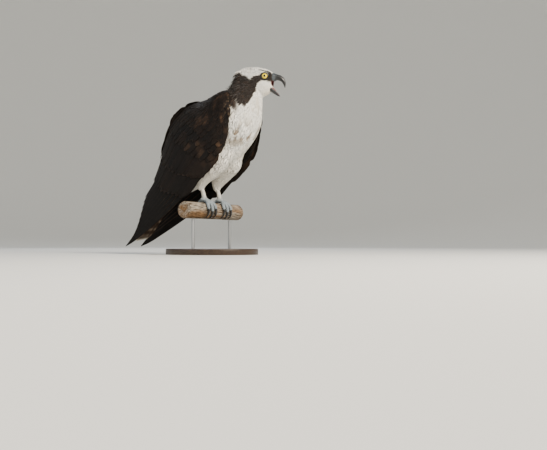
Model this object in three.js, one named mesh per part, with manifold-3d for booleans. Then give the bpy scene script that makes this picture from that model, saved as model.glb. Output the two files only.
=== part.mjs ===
// An adult osprey on a cut length of branch, calling, with drooped wings, held by a plain display stand.
// Millimetres, +Z up. The bird faces +X and its left side is +Y.
// The origin is the centre of the base's underside.
import * as THREE from "three";
import { mergeVertices } from "three/addons/utils/BufferGeometryUtils.js";
import Module from "manifold-3d";

const wasm = await Module();
wasm.setup();

// Driving dimensions, in millimetres
const GAP = 0.3;
const FOOT_LEVEL = 124;
const PERCH_RADIUS = 20;
const PERCH_HALF_LENGTH = 112;
const PERCH_SIDES = 20;
const BASE = { length: 230, width: 200, thickness: 14, segments: 24 };
const ROD = { radius: 4, spread: 78, sides: 16 };
const LEG_SPREAD = 33;
const VANE = { thickness: 0.9, tip: 0.6 };
// The share of a line's length over which its direction is taken.
const STEP = 0.01;

// Colours
const COLOUR = {
  white: 0xf1ece2,
  dark: 0x1d1815,
  horn: 0x1b1c20,
  cere: 0x7f8b93,
  leg: 0xcfd0c9,
  iris: 0xe9c80a,
  tongue: 0xc98a86,
  wood: 0x7d6f60,
  base: 0x2a2624,
  rod: 0x8d8f92,
};

const HERE = new THREE.Matrix4();
const MIRROR = new THREE.Matrix4().makeScale(1, -1, 1);
const placeOf = (side) => (side > 0 ? HERE : MIRROR);
const v3 = (x, y, z) => new THREE.Vector3(x, y, z);
const mix = (a, b, k) => a + (b - a) * k;
const clamp = (x, lo, hi) => Math.min(hi, Math.max(lo, x));
const smooth = (x) => {
  const k = clamp(x, 0, 1);
  return k * k * (3 - 2 * k);
};

// A seeded draw between -1 and 1, for the small differences between feathers.
let seed = 20240611;
function draw() {
  seed = (Math.imul(seed, 1664525) + 1013904223) >>> 0;
  return (seed / 4294967296) * 2 - 1;
}

// Values of a table's rows at a share u of its length, through every row.
function along(rows, u) {
  const last = rows.length - 1;
  const at = clamp(u, 0, 1) * last;
  const i = Math.min(last - 1, Math.floor(at));
  const k = at - i;
  return rows[i].map((_, c) => {
    const p1 = rows[i][c];
    const p2 = rows[i + 1][c];
    const p0 = i > 0 ? rows[i - 1][c] : 2 * p1 - p2;
    const p3 = i + 2 <= last ? rows[i + 2][c] : 2 * p2 - p1;
    const bend = 2 * p0 - 5 * p1 + 4 * p2 - p3;
    const twist = -p0 + 3 * p1 - 3 * p2 + p3;
    return 0.5 * (2 * p1 + (p2 - p0) * k + bend * k * k + twist * k * k * k);
  });
}

// A closed body from rings of points, with a point at each end.
function bodyOfRings(rings, startPoint, endPoint) {
  const n = rings[0].length;
  const points = rings.flat().concat([startPoint, endPoint]);
  const position = new Float32Array(points.flatMap((p) => [p.x, p.y, p.z]));
  const index = [];
  const start = rings.length * n;
  const end = start + 1;
  const lastRow = (rings.length - 1) * n;
  for (let j = 0; j < n; j++) {
    const next = (j + 1) % n;
    index.push(start, next, j);
    index.push(end, lastRow + j, lastRow + next);
    for (let i = 0; i + 1 < rings.length; i++) {
      const a = i * n + j;
      const b = i * n + next;
      index.push(a, b, b + n, a, b + n, a + n);
    }
  }
  const geometry = new THREE.BufferGeometry();
  geometry.setAttribute("position", new THREE.BufferAttribute(position, 3));
  geometry.setIndex(index);
  return geometry;
}

// A closed thin body between an upper and a lower grid of points, both split into triangles alike.
function sheetOfGrids(upper, lower) {
  const rows = upper.length;
  const columns = upper[0].length;
  const points = [...upper.flat(), ...lower.flat()];
  const position = new Float32Array(points.flatMap((p) => [p.x, p.y, p.z]));
  const under = rows * columns;
  const index = [];
  for (let i = 0; i + 1 < rows; i++) {
    for (let j = 0; j + 1 < columns; j++) {
      const a = i * columns + j;
      const b = a + columns;
      index.push(a, b, b + 1, a, b + 1, a + 1);
      index.push(under + a, under + b + 1, under + b, under + a, under + a + 1, under + b + 1);
    }
  }
  const rim = [];
  for (let j = 0; j + 1 < columns; j++) rim.push(j);
  for (let i = 0; i + 1 < rows; i++) rim.push(i * columns + columns - 1);
  for (let j = columns - 1; j > 0; j--) rim.push((rows - 1) * columns + j);
  for (let i = rows - 1; i > 0; i--) rim.push(i * columns);
  rim.forEach((a, k) => {
    const b = rim[(k + 1) % rim.length];
    index.push(a, b, under + b, a, under + b, under + a);
  });
  const geometry = new THREE.BufferGeometry();
  geometry.setAttribute("position", new THREE.BufferAttribute(position, 3));
  geometry.setIndex(index);
  return geometry;
}

// A feather's outline: its share of full width at each share of its length.
const VANE_STEPS = [
  [0, 0.7],
  [0.4, 1],
  [0.8, 0.92],
  [1, 0.4],
];

// A lock's outline, from its sunk root to its pointed tip.
const LOCK_STEPS = [
  [0, 0.8],
  [0.55, 1],
  [1, 0.24],
];

// A feather vane. The frame at a share k of its length gives its middle, across and up.
function vane(frameAt, halfWidth, place) {
  const upper = [];
  const lower = [];
  for (const [k, share] of VANE_STEPS) {
    const { middle, across, up, tilt = 0 } = frameAt(k);
    const half = halfWidth * share;
    const thickness = mix(VANE.thickness, VANE.tip, k);
    const edges = [-1, 1].map((way) =>
      middle
        .clone()
        .addScaledVector(across, way * half)
        .addScaledVector(up, way * tilt * share),
    );
    upper.push(edges);
    lower.push(edges.map((p) => p.clone().addScaledVector(up, -thickness)));
  }
  return solidOf(sheetOfGrids(upper, lower), place);
}

function middleOf(points) {
  return points.reduce((sum, p) => sum.add(p), v3(0, 0, 0)).divideScalar(points.length);
}

// A solid of a closed geometry, with a placing matrix applied first.
function solidOf(geometry, place = HERE) {
  const bare = geometry.clone().applyMatrix4(place);
  bare.deleteAttribute("normal");
  bare.deleteAttribute("uv");
  const merged = mergeVertices(bare, 1e-4);
  const triVerts = new Uint32Array(merged.index.array);
  const vertProperties = merged.attributes.position.array;
  let made = new wasm.Manifold(new wasm.Mesh({ numProp: 3, vertProperties, triVerts }));
  if (made.volume() < 0) {
    for (let i = 0; i < triVerts.length; i += 3) {
      [triVerts[i + 1], triVerts[i + 2]] = [triVerts[i + 2], triVerts[i + 1]];
    }
    made = new wasm.Manifold(new wasm.Mesh({ numProp: 3, vertProperties, triVerts }));
  }
  return made;
}

function largest(solid) {
  return solid.decompose().reduce((a, b) => (b.volume() > a.volume() ? b : a));
}

function geometryOf(solid) {
  const mesh = solid.getMesh();
  const position = new Float32Array(mesh.numVert * 3);
  for (let i = 0; i < mesh.numVert; i++) {
    const from = i * mesh.numProp;
    position.set(mesh.vertProperties.subarray(from, from + 3), i * 3);
  }
  const geometry = new THREE.BufferGeometry();
  geometry.setAttribute("position", new THREE.BufferAttribute(position, 3));
  geometry.setIndex(new THREE.BufferAttribute(mesh.triVerts, 1));
  geometry.computeVertexNormals();
  return geometry;
}

const group = new THREE.Group();
const bird = new THREE.Group();
bird.position.z = FOOT_LEVEL;
group.add(bird);

function addNode(parent, name, solid, color, roughness = 0.8, metalness = 0) {
  const material = new THREE.MeshStandardMaterial({ color, roughness, metalness });
  const mesh = new THREE.Mesh(geometryOf(largest(solid)), material);
  mesh.name = name;
  parent.add(mesh);
  return mesh;
}

const sideName = (side) => (side > 0 ? "left" : "right");

// Body and neck. Each row is a section: back x z, belly x z, half-width, height of the widest place.
const BODY_ROWS = [
  [-122, 50, -104, 16, 15, 0.5],
  [-122, 78, -76, 22, 32, 0.5],
  [-112, 118, -26, 42, 47, 0.48],
  [-88, 157, 28, 71, 57, 0.46],
  [-52, 195, 70, 102, 62, 0.44],
  [-12, 225, 104, 138, 64, 0.43],
  [20, 246, 125, 172, 61, 0.43],
  [43, 261, 132, 203, 51, 0.46],
  [60, 273, 137, 226, 39, 0.5],
  [74, 287, 139, 241, 31, 0.5],
  [94, 296, 136, 258, 22, 0.5],
];
const BODY_RINGS = 24;
const BODY_SIDES = 20;
const BODY_ROUNDNESS = 0.94;
// How far the body's two end points stand out from its first and last rings.
const BODY_ENDS = { ventX: -4, ventZ: -6, neckX: 6, neckZ: 2 };

function bodyPoint(u, angle, grow = 0) {
  const [backX, backZ, bellyX, bellyZ, halfWidth, widest] = along(BODY_ROWS, u);
  const up = v3(backX - bellyX, 0, backZ - bellyZ);
  const height = up.length();
  up.normalize();
  const centre = v3(bellyX, 0, bellyZ).addScaledVector(up, height * widest);
  const c = Math.sign(Math.cos(angle)) * Math.abs(Math.cos(angle)) ** BODY_ROUNDNESS;
  const s = Math.sign(Math.sin(angle)) * Math.abs(Math.sin(angle)) ** BODY_ROUNDNESS;
  const reach = s > 0 ? height * (1 - widest) : height * widest;
  centre.y += c * (halfWidth + grow);
  return centre.addScaledVector(up, s * (reach + grow));
}

function bodyLoft(grow = 0) {
  const rings = [];
  for (let i = 0; i <= BODY_RINGS; i++) {
    const ring = [];
    for (let j = 0; j < BODY_SIDES; j++) {
      ring.push(bodyPoint(i / BODY_RINGS, (2 * Math.PI * j) / BODY_SIDES, grow));
    }
    rings.push(ring);
  }
  const vent = middleOf(rings[0]).add(v3(BODY_ENDS.ventX - grow, 0, BODY_ENDS.ventZ - grow));
  const neck = middleOf(rings.at(-1)).add(v3(BODY_ENDS.neckX, 0, BODY_ENDS.neckZ));
  return solidOf(bodyOfRings(rings, vent, neck));
}

// Head, in its own frame: +X along the bill, +Y its left. Each row is an upright section:
// x, top z, bottom z, half-width, height of the widest place.
const HEAD_TURN = 15;
const HEAD_PLACE = [119, 5, 283];
const HEAD_ROWS = [
  [-45, 14, 0, 7, 0.5],
  [-42, 24, -10, 16, 0.5],
  [-34, 30.5, -22, 23, 0.5],
  [-19, 34, -34, 26.5, 0.52],
  [-2, 34, -40, 27.5, 0.54],
  [12, 32, -40, 26.5, 0.56],
  [24, 29, -37, 24, 0.6],
  [34, 24.5, -31, 19, 0.64],
  [43, 18.5, -18, 12.5, 0.62],
];
const HEAD_RINGS = 12;
const HEAD_SIDES = 18;
const HEAD_BACK = 3;
const HEAD = new THREE.Matrix4()
  .makeRotationZ(THREE.MathUtils.degToRad(HEAD_TURN))
  .setPosition(...HEAD_PLACE);

function headPoint(u, angle) {
  const [x, top, bottom, halfWidth, widest] = along(HEAD_ROWS, u);
  const centre = mix(bottom, top, widest);
  const s = Math.sin(angle);
  const reach = s > 0 ? top - centre : centre - bottom;
  return v3(x, Math.cos(angle) * halfWidth, centre + s * reach);
}

function headLoft() {
  const rings = [];
  for (let i = 0; i <= HEAD_RINGS; i++) {
    const ring = [];
    for (let j = 0; j < HEAD_SIDES; j++) {
      ring.push(headPoint(i / HEAD_RINGS, (2 * Math.PI * j) / HEAD_SIDES));
    }
    rings.push(ring);
  }
  const back = middleOf(rings[0]).add(v3(-HEAD_BACK, 0, 0));
  return solidOf(bodyOfRings(rings, back, middleOf(rings.at(-1))), HEAD);
}

// A round-sided horn or limb along a centre line. Each row: x, y, z, half-width, half-height.
function limb(rows, rings, sides, place = HERE, grow = 0) {
  const loops = [];
  for (let i = 0; i <= rings; i++) {
    const u = i / rings;
    const [x, y, z, halfWidth, halfHeight] = along(rows, u);
    const ahead = along(rows, Math.min(1, u + STEP));
    const behind = along(rows, Math.max(0, u - STEP));
    const forward = v3(ahead[0] - behind[0], ahead[1] - behind[1], ahead[2] - behind[2]);
    forward.normalize();
    const sideways = Math.abs(forward.y) > Math.max(Math.abs(forward.x), Math.abs(forward.z));
    const side = sideways ? v3(1, 0, 0) : v3(0, 1, 0);
    const across = side.addScaledVector(forward, -forward.dot(side)).normalize();
    const up = forward.clone().cross(across);
    const end = i === 0 ? -grow : i === rings ? grow : 0;
    const loop = [];
    for (let j = 0; j < sides; j++) {
      const angle = (2 * Math.PI * (j + 0.5)) / sides;
      loop.push(
        v3(x, y, z)
          .addScaledVector(forward, end)
          .addScaledVector(across, Math.cos(angle) * (halfWidth + grow))
          .addScaledVector(up, Math.sin(angle) * (halfHeight + grow)),
      );
    }
    loops.push(loop);
  }
  return solidOf(bodyOfRings(loops, middleOf(loops[0]), middleOf(loops.at(-1))), place);
}

// A flat tapered lock that bends as it goes: root, heading and pitch in degrees.
function lock({ root, heading, pitch, bend, length, halfWidth, thickness }, place) {
  const turn = THREE.MathUtils.degToRad(heading);
  const across = v3(-Math.sin(turn), Math.cos(turn), 0);
  const upper = [];
  const lower = [];
  const middle = v3(...root);
  for (let i = 0; i < LOCK_STEPS.length; i++) {
    const [k, share] = LOCK_STEPS[i];
    const rise = THREE.MathUtils.degToRad(pitch + bend * k);
    const level = Math.cos(rise);
    const forward = v3(Math.cos(turn) * level, Math.sin(turn) * level, Math.sin(rise));
    const up = forward.clone().cross(across).normalize();
    if (i > 0) middle.addScaledVector(forward, length * (k - LOCK_STEPS[i - 1][0]));
    const thick = Math.max(VANE.tip, thickness * share);
    const edges = [-1, 1].map((way) => middle.clone().addScaledVector(across, way * halfWidth * share));
    upper.push(edges.map((p) => p.clone().addScaledVector(up, thick / 2)));
    lower.push(edges.map((p) => p.clone().addScaledVector(up, -thick / 2)));
  }
  return solidOf(sheetOfGrids(upper, lower), place);
}

// Bill and mouth, in the head's frame.
const UPPER_BILL_ROWS = [
  [39, 0, 6.2, 9.6, 10.4],
  [44, 0, 6.6, 9.4, 10],
  [52, 0, 6.2, 7.8, 7.4],
  [60, 0, 3.6, 6, 6.6],
  [66.5, 0, -1.6, 4.6, 5.4],
  [70.3, 0, -9.5, 3, 3.2],
  [71.6, 0, -19.2, 0.9, 0.9],
];
const CERE_END = 50;
const BILL_DETAIL = { rings: 13, sides: 12 };
const LOWER_BILL_ROWS = [
  [26, 0, -13, 8.6, 4],
  [35, 0, -18.6, 8.4, 4.6],
  [45, 0, -26, 7, 4.4],
  [53, 0, -32.6, 5, 3.4],
  [59, 0, -38, 2.2, 1.2],
];
const LOWER_BILL_DETAIL = { rings: 7, sides: 10 };
const TONGUE_ROWS = [
  [31, 0, -10.2, 4.4, 1.7],
  [39, 0, -15.8, 4, 1.7],
  [46, 0, -21.4, 2.8, 1.3],
  [50, 0, -25, 1.2, 0.7],
];
const TONGUE_DETAIL = { rings: 5, sides: 8 };
const MOUTH_ROWS = [
  [24, 0, -8, 6, 1.2],
  [32, 0, -7, 8.5, 3.6],
  [46, 0, -8, 9.5, 7],
  [62, 0, -14, 10, 9],
];
const MOUTH_DETAIL = { rings: 4, sides: 12 };
const EYE = { x: 27, y: 15, z: 6.5, radius: 10.2, segments: 12 };
const LID = { out: 22.4, ring: 7.9, tube: 1.8, sides: 5, segments: 12, ahead: 12 };
const BROW_ROWS = [
  [8, 23.6, 14.5, 1.6, 1.4],
  [18, 23.4, 17.2, 2.6, 2.2],
  [28, 20.8, 17, 3, 2.4],
  [37, 16, 14, 2, 1.8],
  [42, 12.4, 11, 0.9, 0.9],
];
const BROW_DETAIL = { rings: 6, sides: 8 };
const NOSTRIL_ROWS = [
  [43.6, 12, 8.6, 0.7, 1],
  [45, 8.6, 9.2, 0.9, 1.7],
  [46, 6.2, 9.6, 0.7, 1],
];
const NOSTRIL_DETAIL = { rings: 3, sides: 8 };
// Locks of the nape and rear crown: root x, y, z, then length, lift in degrees and half-width.
const NAPE_LOCKS = [
  [-29, 0, 30, 19, 6, 5],
  [-33, 9, 26, 18, -2, 4.8],
  [-33, -9, 26, 18, -2, 4.8],
  [-38, 0, 21, 18, -10, 5],
  [-37, 14, 18, 17, -14, 4.8],
  [-37, -14, 18, 17, -14, 4.8],
  [-41, 6, 12, 18, -24, 5],
  [-41, -6, 12, 18, -24, 5],
  [-37, 18, 7, 17, -28, 4.8],
  [-37, -18, 7, 17, -28, 4.8],
  [-42, 0, 4, 18, -36, 5],
];
// They fan out from the middle, and each is drawn a little to its own side, lift, bend and length.
const NAPE = { fan: 0.9, turnDraw: 5, liftDraw: 5, bendDraw: 10, lengthDraw: 0.12, thickness: 2.4 };

// Legs. Each row: x, y, z, half-width, half-height, for the left leg.
const THIGH_ROWS = [
  [44, 24, 128, 24, 38],
  [30, 28, 104, 24, 38],
  [12, 32, 80, 21, 31],
  [-2, 34, 58, 15, 22],
  [-8, 34, 40, 9.5, 13],
  [-6, 33.5, 30, 6.5, 7.5],
];
// Long feathers that hang from the thigh: place along it, turn round it in degrees, length.
const THIGH_LOCKS = [
  [0.66, 180, 30],
  [0.66, 235, 27],
  [0.66, 125, 27],
  [0.8, 205, 24],
  [0.8, 155, 24],
  [0.78, 270, 20],
  [0.78, 90, 20],
];
const THIGH_DETAIL = { rings: 7, sides: 12 };
const THIGH_LOCK = {
  backReach: 0.5,
  sideReach: 0.7,
  heading: 180,
  headingDraw: 6,
  pitch: -74,
  bend: 12,
  halfWidth: 7,
  thickness: 3.4,
};
// The thigh's feathers keep this far above the perch.
const THIGH_CLEARANCE = 6;
const TARSUS_ROWS = [
  [-12, 34, 52, 5.4, 6],
  [-8, 33.6, 38, 5, 5.4],
  [-3, 33.2, 24, 4.8, 5.2],
  [0, 33, 11.6, 5.6, 6],
];
const TARSUS_DETAIL = { rings: 5, sides: 10 };
const TOE = { radius: 5, tip: 3.6, rings: 5, sides: 6, splayed: 0.83 };
const TOES = [
  { name: "inner", ends: 82, splay: -15 },
  { name: "middle", ends: 96, splay: -1 },
  { name: "outer", ends: 84, splay: 14 },
  { name: "hind", ends: -80, splay: -4 },
];
const TALON = {
  rooted: 4,
  sweep: 66,
  base: 3.3,
  tip: 0.35,
  taper: 1.3,
  rings: 4,
  sides: 6,
  lift: 1.6,
  rise: 0.4,
  splay: 0.15,
};

// A place on an arc round the perch: turned ahead from its top, at a height over its bark.
function roundPerch(degrees, over, y) {
  const angle = THREE.MathUtils.degToRad(degrees);
  const reach = PERCH_RADIUS + over;
  return [Math.sin(angle) * reach, y, Math.cos(angle) * reach - PERCH_RADIUS];
}

function toeRows(toe) {
  return [0, 0.2, 0.4, 0.6, 0.8, 1].map((k) => {
    const radius = mix(TOE.radius, TOE.tip, k);
    const y = LEG_SPREAD + toe.splay * smooth(k / TOE.splayed);
    return [...roundPerch(toe.ends * k, GAP + radius, y), radius, radius];
  });
}

function talonRows(toe) {
  const way = Math.sign(toe.ends);
  const start = toe.ends - way * TALON.rooted;
  return [0, 0.25, 0.5, 0.75, 1].map((k) => {
    const radius = mix(TALON.base, TALON.tip, k ** TALON.taper);
    const over = GAP + radius + TALON.lift * Math.sin(Math.PI * k) + TALON.rise;
    const y = LEG_SPREAD + toe.splay * (1 + TALON.splay * k);
    return [...roundPerch(start + way * TALON.sweep * k, over, y), radius, radius];
  });
}

// Wing. Guide lines of the right wing's outer face, from the neck's side to the tip.
const WING_BACK_LINE = [
  [54, -15, 267],
  [24, -12, 259],
  [-14, -8, 248],
  [-71, -5, 234],
  [-119, -4, 192],
  [-148, -3, 124],
  [-170, -6, 62],
  [-204, -13, 4],
  [-236, -22, -90],
];
const WING_SIDE_LINE = [
  [76, -50, 258],
  [60, -88, 246],
  [30, -97, 212],
  [-6, -97, 172],
  [-46, -91, 130],
  [-84, -81, 84],
  [-126, -62, 38],
  [-182, -46, -22],
  [-242, -27, -99],
];
const WING_FRONT_LINE = [
  [84, -46, 246],
  [96, -71, 212],
  [89, -74, 170],
  [73, -74, 126],
  [45, -73, 93],
  [10, -70, 62],
  [-40, -61, 14],
  [-138, -45, -48],
  [-245, -31, -108],
];
const WING_MIDDLE = 0.3;

function wingPoint(s, t, lift = 0) {
  const at = (ss, tt) => {
    const d = along(WING_BACK_LINE, ss);
    const m = along(WING_SIDE_LINE, ss);
    const l = along(WING_FRONT_LINE, ss);
    const a = (1 - tt) * (1 - tt);
    const b = 2 * tt * (1 - tt);
    const c = tt * tt;
    return v3(...[0, 1, 2].map((i) => a * d[i] + b * m[i] + c * l[i]));
  };
  const p = at(s, t);
  if (lift === 0) return p;
  const ds = at(Math.min(1, s + STEP), t).sub(at(Math.max(0, s - STEP), t));
  const dt = at(s, Math.min(1, t + STEP)).sub(at(s, Math.max(0, t - STEP)));
  return p.addScaledVector(ds.cross(dt).normalize(), lift);
}

// The folded arm: a shell sunk under the feathers, thinner past a share of its length and at its edges.
const WING_SHELL = {
  end: 0.74,
  slant: 0.05,
  rings: 12,
  across: 6,
  thickness: 9,
  thin: 6,
  thinFrom: 0.4,
  edge: 0.25,
  sunk: 2.6,
};

function wingShell(place) {
  const upper = [];
  const lower = [];
  for (let i = 0; i <= WING_SHELL.rings; i++) {
    const share = i / WING_SHELL.rings;
    const thinning = smooth((share - WING_SHELL.thinFrom) / (1 - WING_SHELL.thinFrom));
    const thickness = mix(WING_SHELL.thickness, WING_SHELL.thin, thinning);
    const top = [];
    const bottom = [];
    for (let j = 0; j <= WING_SHELL.across; j++) {
      const t = j / WING_SHELL.across;
      const s = share * (WING_SHELL.end - WING_SHELL.slant * t * t);
      const depth = thickness * mix(WING_SHELL.edge, 1, Math.sin(Math.PI * t));
      top.push(wingPoint(s, t, -WING_SHELL.sunk));
      bottom.push(wingPoint(s, t, -WING_SHELL.sunk - depth));
    }
    upper.push(top);
    lower.push(bottom);
  }
  return solidOf(sheetOfGrids(upper, lower), place);
}

// Tiers of wing feathers from the shoulder to the tip: start and end as shares of the wing's
// length, how many lie side by side, and how far each one's tip rises over the next tier.
const WING_TIERS = [
  { start: 0.03, end: 0.19, count: 5, rise: 3.6 },
  { start: 0.13, end: 0.3, count: 6, rise: 3.6 },
  { start: 0.24, end: 0.42, count: 6, rise: 3.6 },
  { start: 0.35, end: 0.56, count: 6, rise: 3.8 },
  { start: 0.47, end: 0.74, count: 6, rise: 3.8 },
];
// Each vane is a little wider than its share of the wing and tilts over the next one. Its start and
// end are drawn a little, its root is sunk in the shell, and the outer ones of a tier end sooner.
const VANES = { overlap: 1.16, tilt: 0.7, startDraw: 0.008, endDraw: 0.012, rounding: 0.02, sunk: 0.4 };
const PRIMARIES = {
  count: 6,
  start: 0.6,
  first: 0.86,
  last: 1,
  step: 1.3,
  under: 0.4,
  halfWidth: 15,
  outer: 12.5,
  backmost: 0.12,
  frontmost: 0.93,
};

// The frame of a vane that runs along the wing at a share t across it.
function wingFrame(s, t, lift) {
  const middle = wingPoint(s, t, lift);
  const across = wingPoint(s, Math.min(1, t + STEP)).sub(wingPoint(s, Math.max(0, t - STEP)));
  const forward = wingPoint(Math.min(1, s + STEP), t).sub(wingPoint(Math.max(0, s - STEP), t));
  const reach = across.length() / (Math.min(1, t + STEP) - Math.max(0, t - STEP));
  across.normalize();
  const up = forward.cross(across).normalize();
  return { middle, across, up, reach };
}

function wingVanes(place) {
  const vanes = [];
  for (const { start, end, count, rise } of WING_TIERS) {
    for (let i = 0; i < count; i++) {
      const t = (i + 0.5) / count;
      const from = start + VANES.startDraw * draw();
      const to = end - VANES.rounding * (t - 0.5) ** 2 + VANES.endDraw * draw();
      const { reach } = wingFrame((from + to) / 2, t, 0);
      const halfWidth = (reach / count / 2) * VANES.overlap;
      const frameAt = (k) => {
        const lift = mix(-VANES.sunk, rise, k) - WING_SHELL.sunk;
        return { ...wingFrame(mix(from, to, k), t, lift), tilt: VANES.tilt };
      };
      vanes.push(vane(frameAt, halfWidth, place));
    }
  }
  for (let i = 0; i < PRIMARIES.count; i++) {
    const share = i / (PRIMARIES.count - 1);
    const to = mix(PRIMARIES.first, PRIMARIES.last, share);
    const t = mix(PRIMARIES.backmost, PRIMARIES.frontmost, share);
    const level = -WING_SHELL.sunk - PRIMARIES.step * (i + PRIMARIES.under);
    const frameAt = (k) => wingFrame(mix(PRIMARIES.start, to, k), t, level);
    vanes.push(vane(frameAt, mix(PRIMARIES.halfWidth, PRIMARIES.outer, share), place));
  }
  return vanes;
}

// Tail. The rump's rows, then the line of the closed feathers from their roots to the square end.
const RUMP_ROWS = [
  [-98, 0, 74, 22, 24],
  [-118, 0, 40, 22, 16],
  [-136, 0, 11, 19, 9],
  [-150, 0, -9, 15, 4],
];
const TAIL_LINE = [
  [-116, 0, 34],
  [-150, 0, -8],
  [-184, 0, -48],
  [-226, 0, -92],
];
const RUMP_DETAIL = { rings: 5, sides: 14 };
// The tail feathers fan out from a share of their spread at the roots, each pair a step under the last.
const TAIL = {
  pairs: 6,
  halfWidth: 9.5,
  spread: 2.2,
  rootSpread: 0.4,
  step: 1.25,
  shortening: 0.012,
  endDraw: 0.004,
};
const TAIL_COVERTS = {
  pairs: 2,
  from: 0.02,
  to: 0.36,
  shortening: 0.04,
  endDraw: 0.01,
  halfWidth: 9,
  spread: 7,
  level: 1.6,
  rise: 1.5,
  step: 1.1,
};

function tailFrame(k, y, lift) {
  const at = (share) => v3(...along(TAIL_LINE, share));
  const forward = at(Math.min(1, k + STEP)).sub(at(Math.max(0, k - STEP))).normalize();
  const across = v3(0, 1, 0);
  const up = across.clone().cross(forward).normalize();
  if (up.z < 0) up.negate();
  const middle = at(k).addScaledVector(across, y).addScaledVector(up, lift);
  return { middle, across, up };
}

function tailVanes() {
  const vanes = [];
  for (const side of [1, -1]) {
    for (let i = 0; i < TAIL.pairs; i++) {
      const end = 1 - TAIL.shortening * i + TAIL.endDraw * draw();
      const level = -TAIL.step * (i + (side > 0 ? 0 : 0.5));
      const spread = side * TAIL.spread * (i + 0.5);
      const frameAt = (k) => tailFrame(end * k, spread * mix(TAIL.rootSpread, 1, k), level);
      vanes.push(vane(frameAt, TAIL.halfWidth));
    }
    for (let i = 0; i < TAIL_COVERTS.pairs; i++) {
      const { from, level, rise, step } = TAIL_COVERTS;
      const to = TAIL_COVERTS.to - TAIL_COVERTS.shortening * i + TAIL_COVERTS.endDraw * draw();
      const y = side * TAIL_COVERTS.spread * (i + 0.5);
      const frameAt = (k) => tailFrame(mix(from, to, k), y, level + rise * k - step * i);
      vanes.push(vane(frameAt, TAIL_COVERTS.halfWidth));
    }
  }
  return vanes;
}

// Perch and stand.
function perchSolid(grow = 0) {
  const rings = [];
  for (const share of [0, 1]) {
    const y = mix(-PERCH_HALF_LENGTH - grow, PERCH_HALF_LENGTH + grow, share);
    const ring = [];
    for (let j = 0; j < PERCH_SIDES; j++) {
      const angle = (2 * Math.PI * j) / PERCH_SIDES;
      const radius = PERCH_RADIUS + grow;
      ring.push(v3(Math.cos(angle) * radius, y, Math.sin(angle) * radius - PERCH_RADIUS));
    }
    rings.push(ring);
  }
  return solidOf(bodyOfRings(rings, middleOf(rings[0]), middleOf(rings.at(-1))));
}

const PAD_ROWS = [
  [-9, LEG_SPREAD, 4.6, 5.5, 4],
  [-3, LEG_SPREAD, 5.6, 8, 5.4],
  [4, LEG_SPREAD, 5.6, 8, 5.4],
  [10, LEG_SPREAD, 4.2, 5.5, 4],
];
const PAD_DETAIL = { rings: 5, sides: 10 };
const NECK_CUT = { normal: [0.62, 0, 0.785], offset: 219 };
const opposite = (normal) => normal.map((c) => -c);

const body = bodyLoft();
const bodyClear = bodyLoft(GAP);
const perchClear = perchSolid(GAP);
const perchHigh = perchSolid(GAP + THIGH_CLEARANCE);
const shaped = (rows, { rings, sides }, place, grow) => limb(rows, rings, sides, place, grow);
const thighOf = (side, grow = 0) => shaped(THIGH_ROWS, THIGH_DETAIL, placeOf(side), grow);
const tarsusOf = (side, grow = 0) => shaped(TARSUS_ROWS, TARSUS_DETAIL, placeOf(side), grow);

function thighLocks(side) {
  return THIGH_LOCKS.map(([share, turn, length]) => {
    const [x, y, z, halfWidth, halfHeight] = along(THIGH_ROWS, share);
    const angle = THREE.MathUtils.degToRad(turn);
    const back = Math.cos(angle) * halfHeight * THIGH_LOCK.backReach;
    const out = Math.sin(angle) * halfWidth * THIGH_LOCK.sideReach;
    const heading = THIGH_LOCK.heading + THIGH_LOCK.headingDraw * draw();
    return lock({ ...THIGH_LOCK, root: [x + back, y + out, z], heading, length }, placeOf(side));
  });
}

function addTorsoAndNeck() {
  const lower = body.trimByPlane(opposite(NECK_CUT.normal), -NECK_CUT.offset);
  const upper = body.trimByPlane(NECK_CUT.normal, NECK_CUT.offset + GAP);
  addNode(bird, "torso", lower, COLOUR.white);
  addNode(bird, "neck", upper, COLOUR.white);
}

function addLeg(side) {
  const name = sideName(side);
  const place = placeOf(side);
  const thigh = wasm.Manifold.union([thighOf(side), ...thighLocks(side)])
    .subtract(bodyClear)
    .subtract(perchHigh)
    .subtract(tarsusOf(side, GAP));
  addNode(bird, `thigh_${name}`, thigh, COLOUR.white);
  addNode(bird, `tarsus_${name}`, tarsusOf(side), COLOUR.leg, 0.7);
  let foot = shaped(PAD_ROWS, PAD_DETAIL, place);
  for (const toe of TOES) foot = foot.add(shaped(toeRows(toe), TOE, place));
  foot = foot.subtract(perchClear).subtract(tarsusOf(side, GAP));
  addNode(bird, `foot_${name}`, foot, COLOUR.leg, 0.7);
  for (const toe of TOES) {
    const toeClear = shaped(toeRows(toe), TOE, place, GAP);
    const talon = shaped(talonRows(toe), TALON, place)
      .subtract(perchClear)
      .subtract(toeClear);
    addNode(bird, `talon_${toe.name}_${name}`, talon, COLOUR.horn, 0.35);
  }
}

const headSide = (side) => HEAD.clone().multiply(placeOf(side));

function eyeRim(side) {
  const ring = new THREE.TorusGeometry(LID.ring, LID.tube, LID.sides, LID.segments)
    .rotateX(Math.PI / 2)
    .rotateZ(THREE.MathUtils.degToRad(-LID.ahead))
    .translate(EYE.x, LID.out, EYE.z);
  return solidOf(ring, headSide(side));
}

function eyeball(side, grow = 0) {
  const sphere = new THREE.SphereGeometry(EYE.radius + grow, EYE.segments, EYE.segments / 2);
  return solidOf(sphere.translate(EYE.x, side * EYE.y, EYE.z), HEAD);
}

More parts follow.
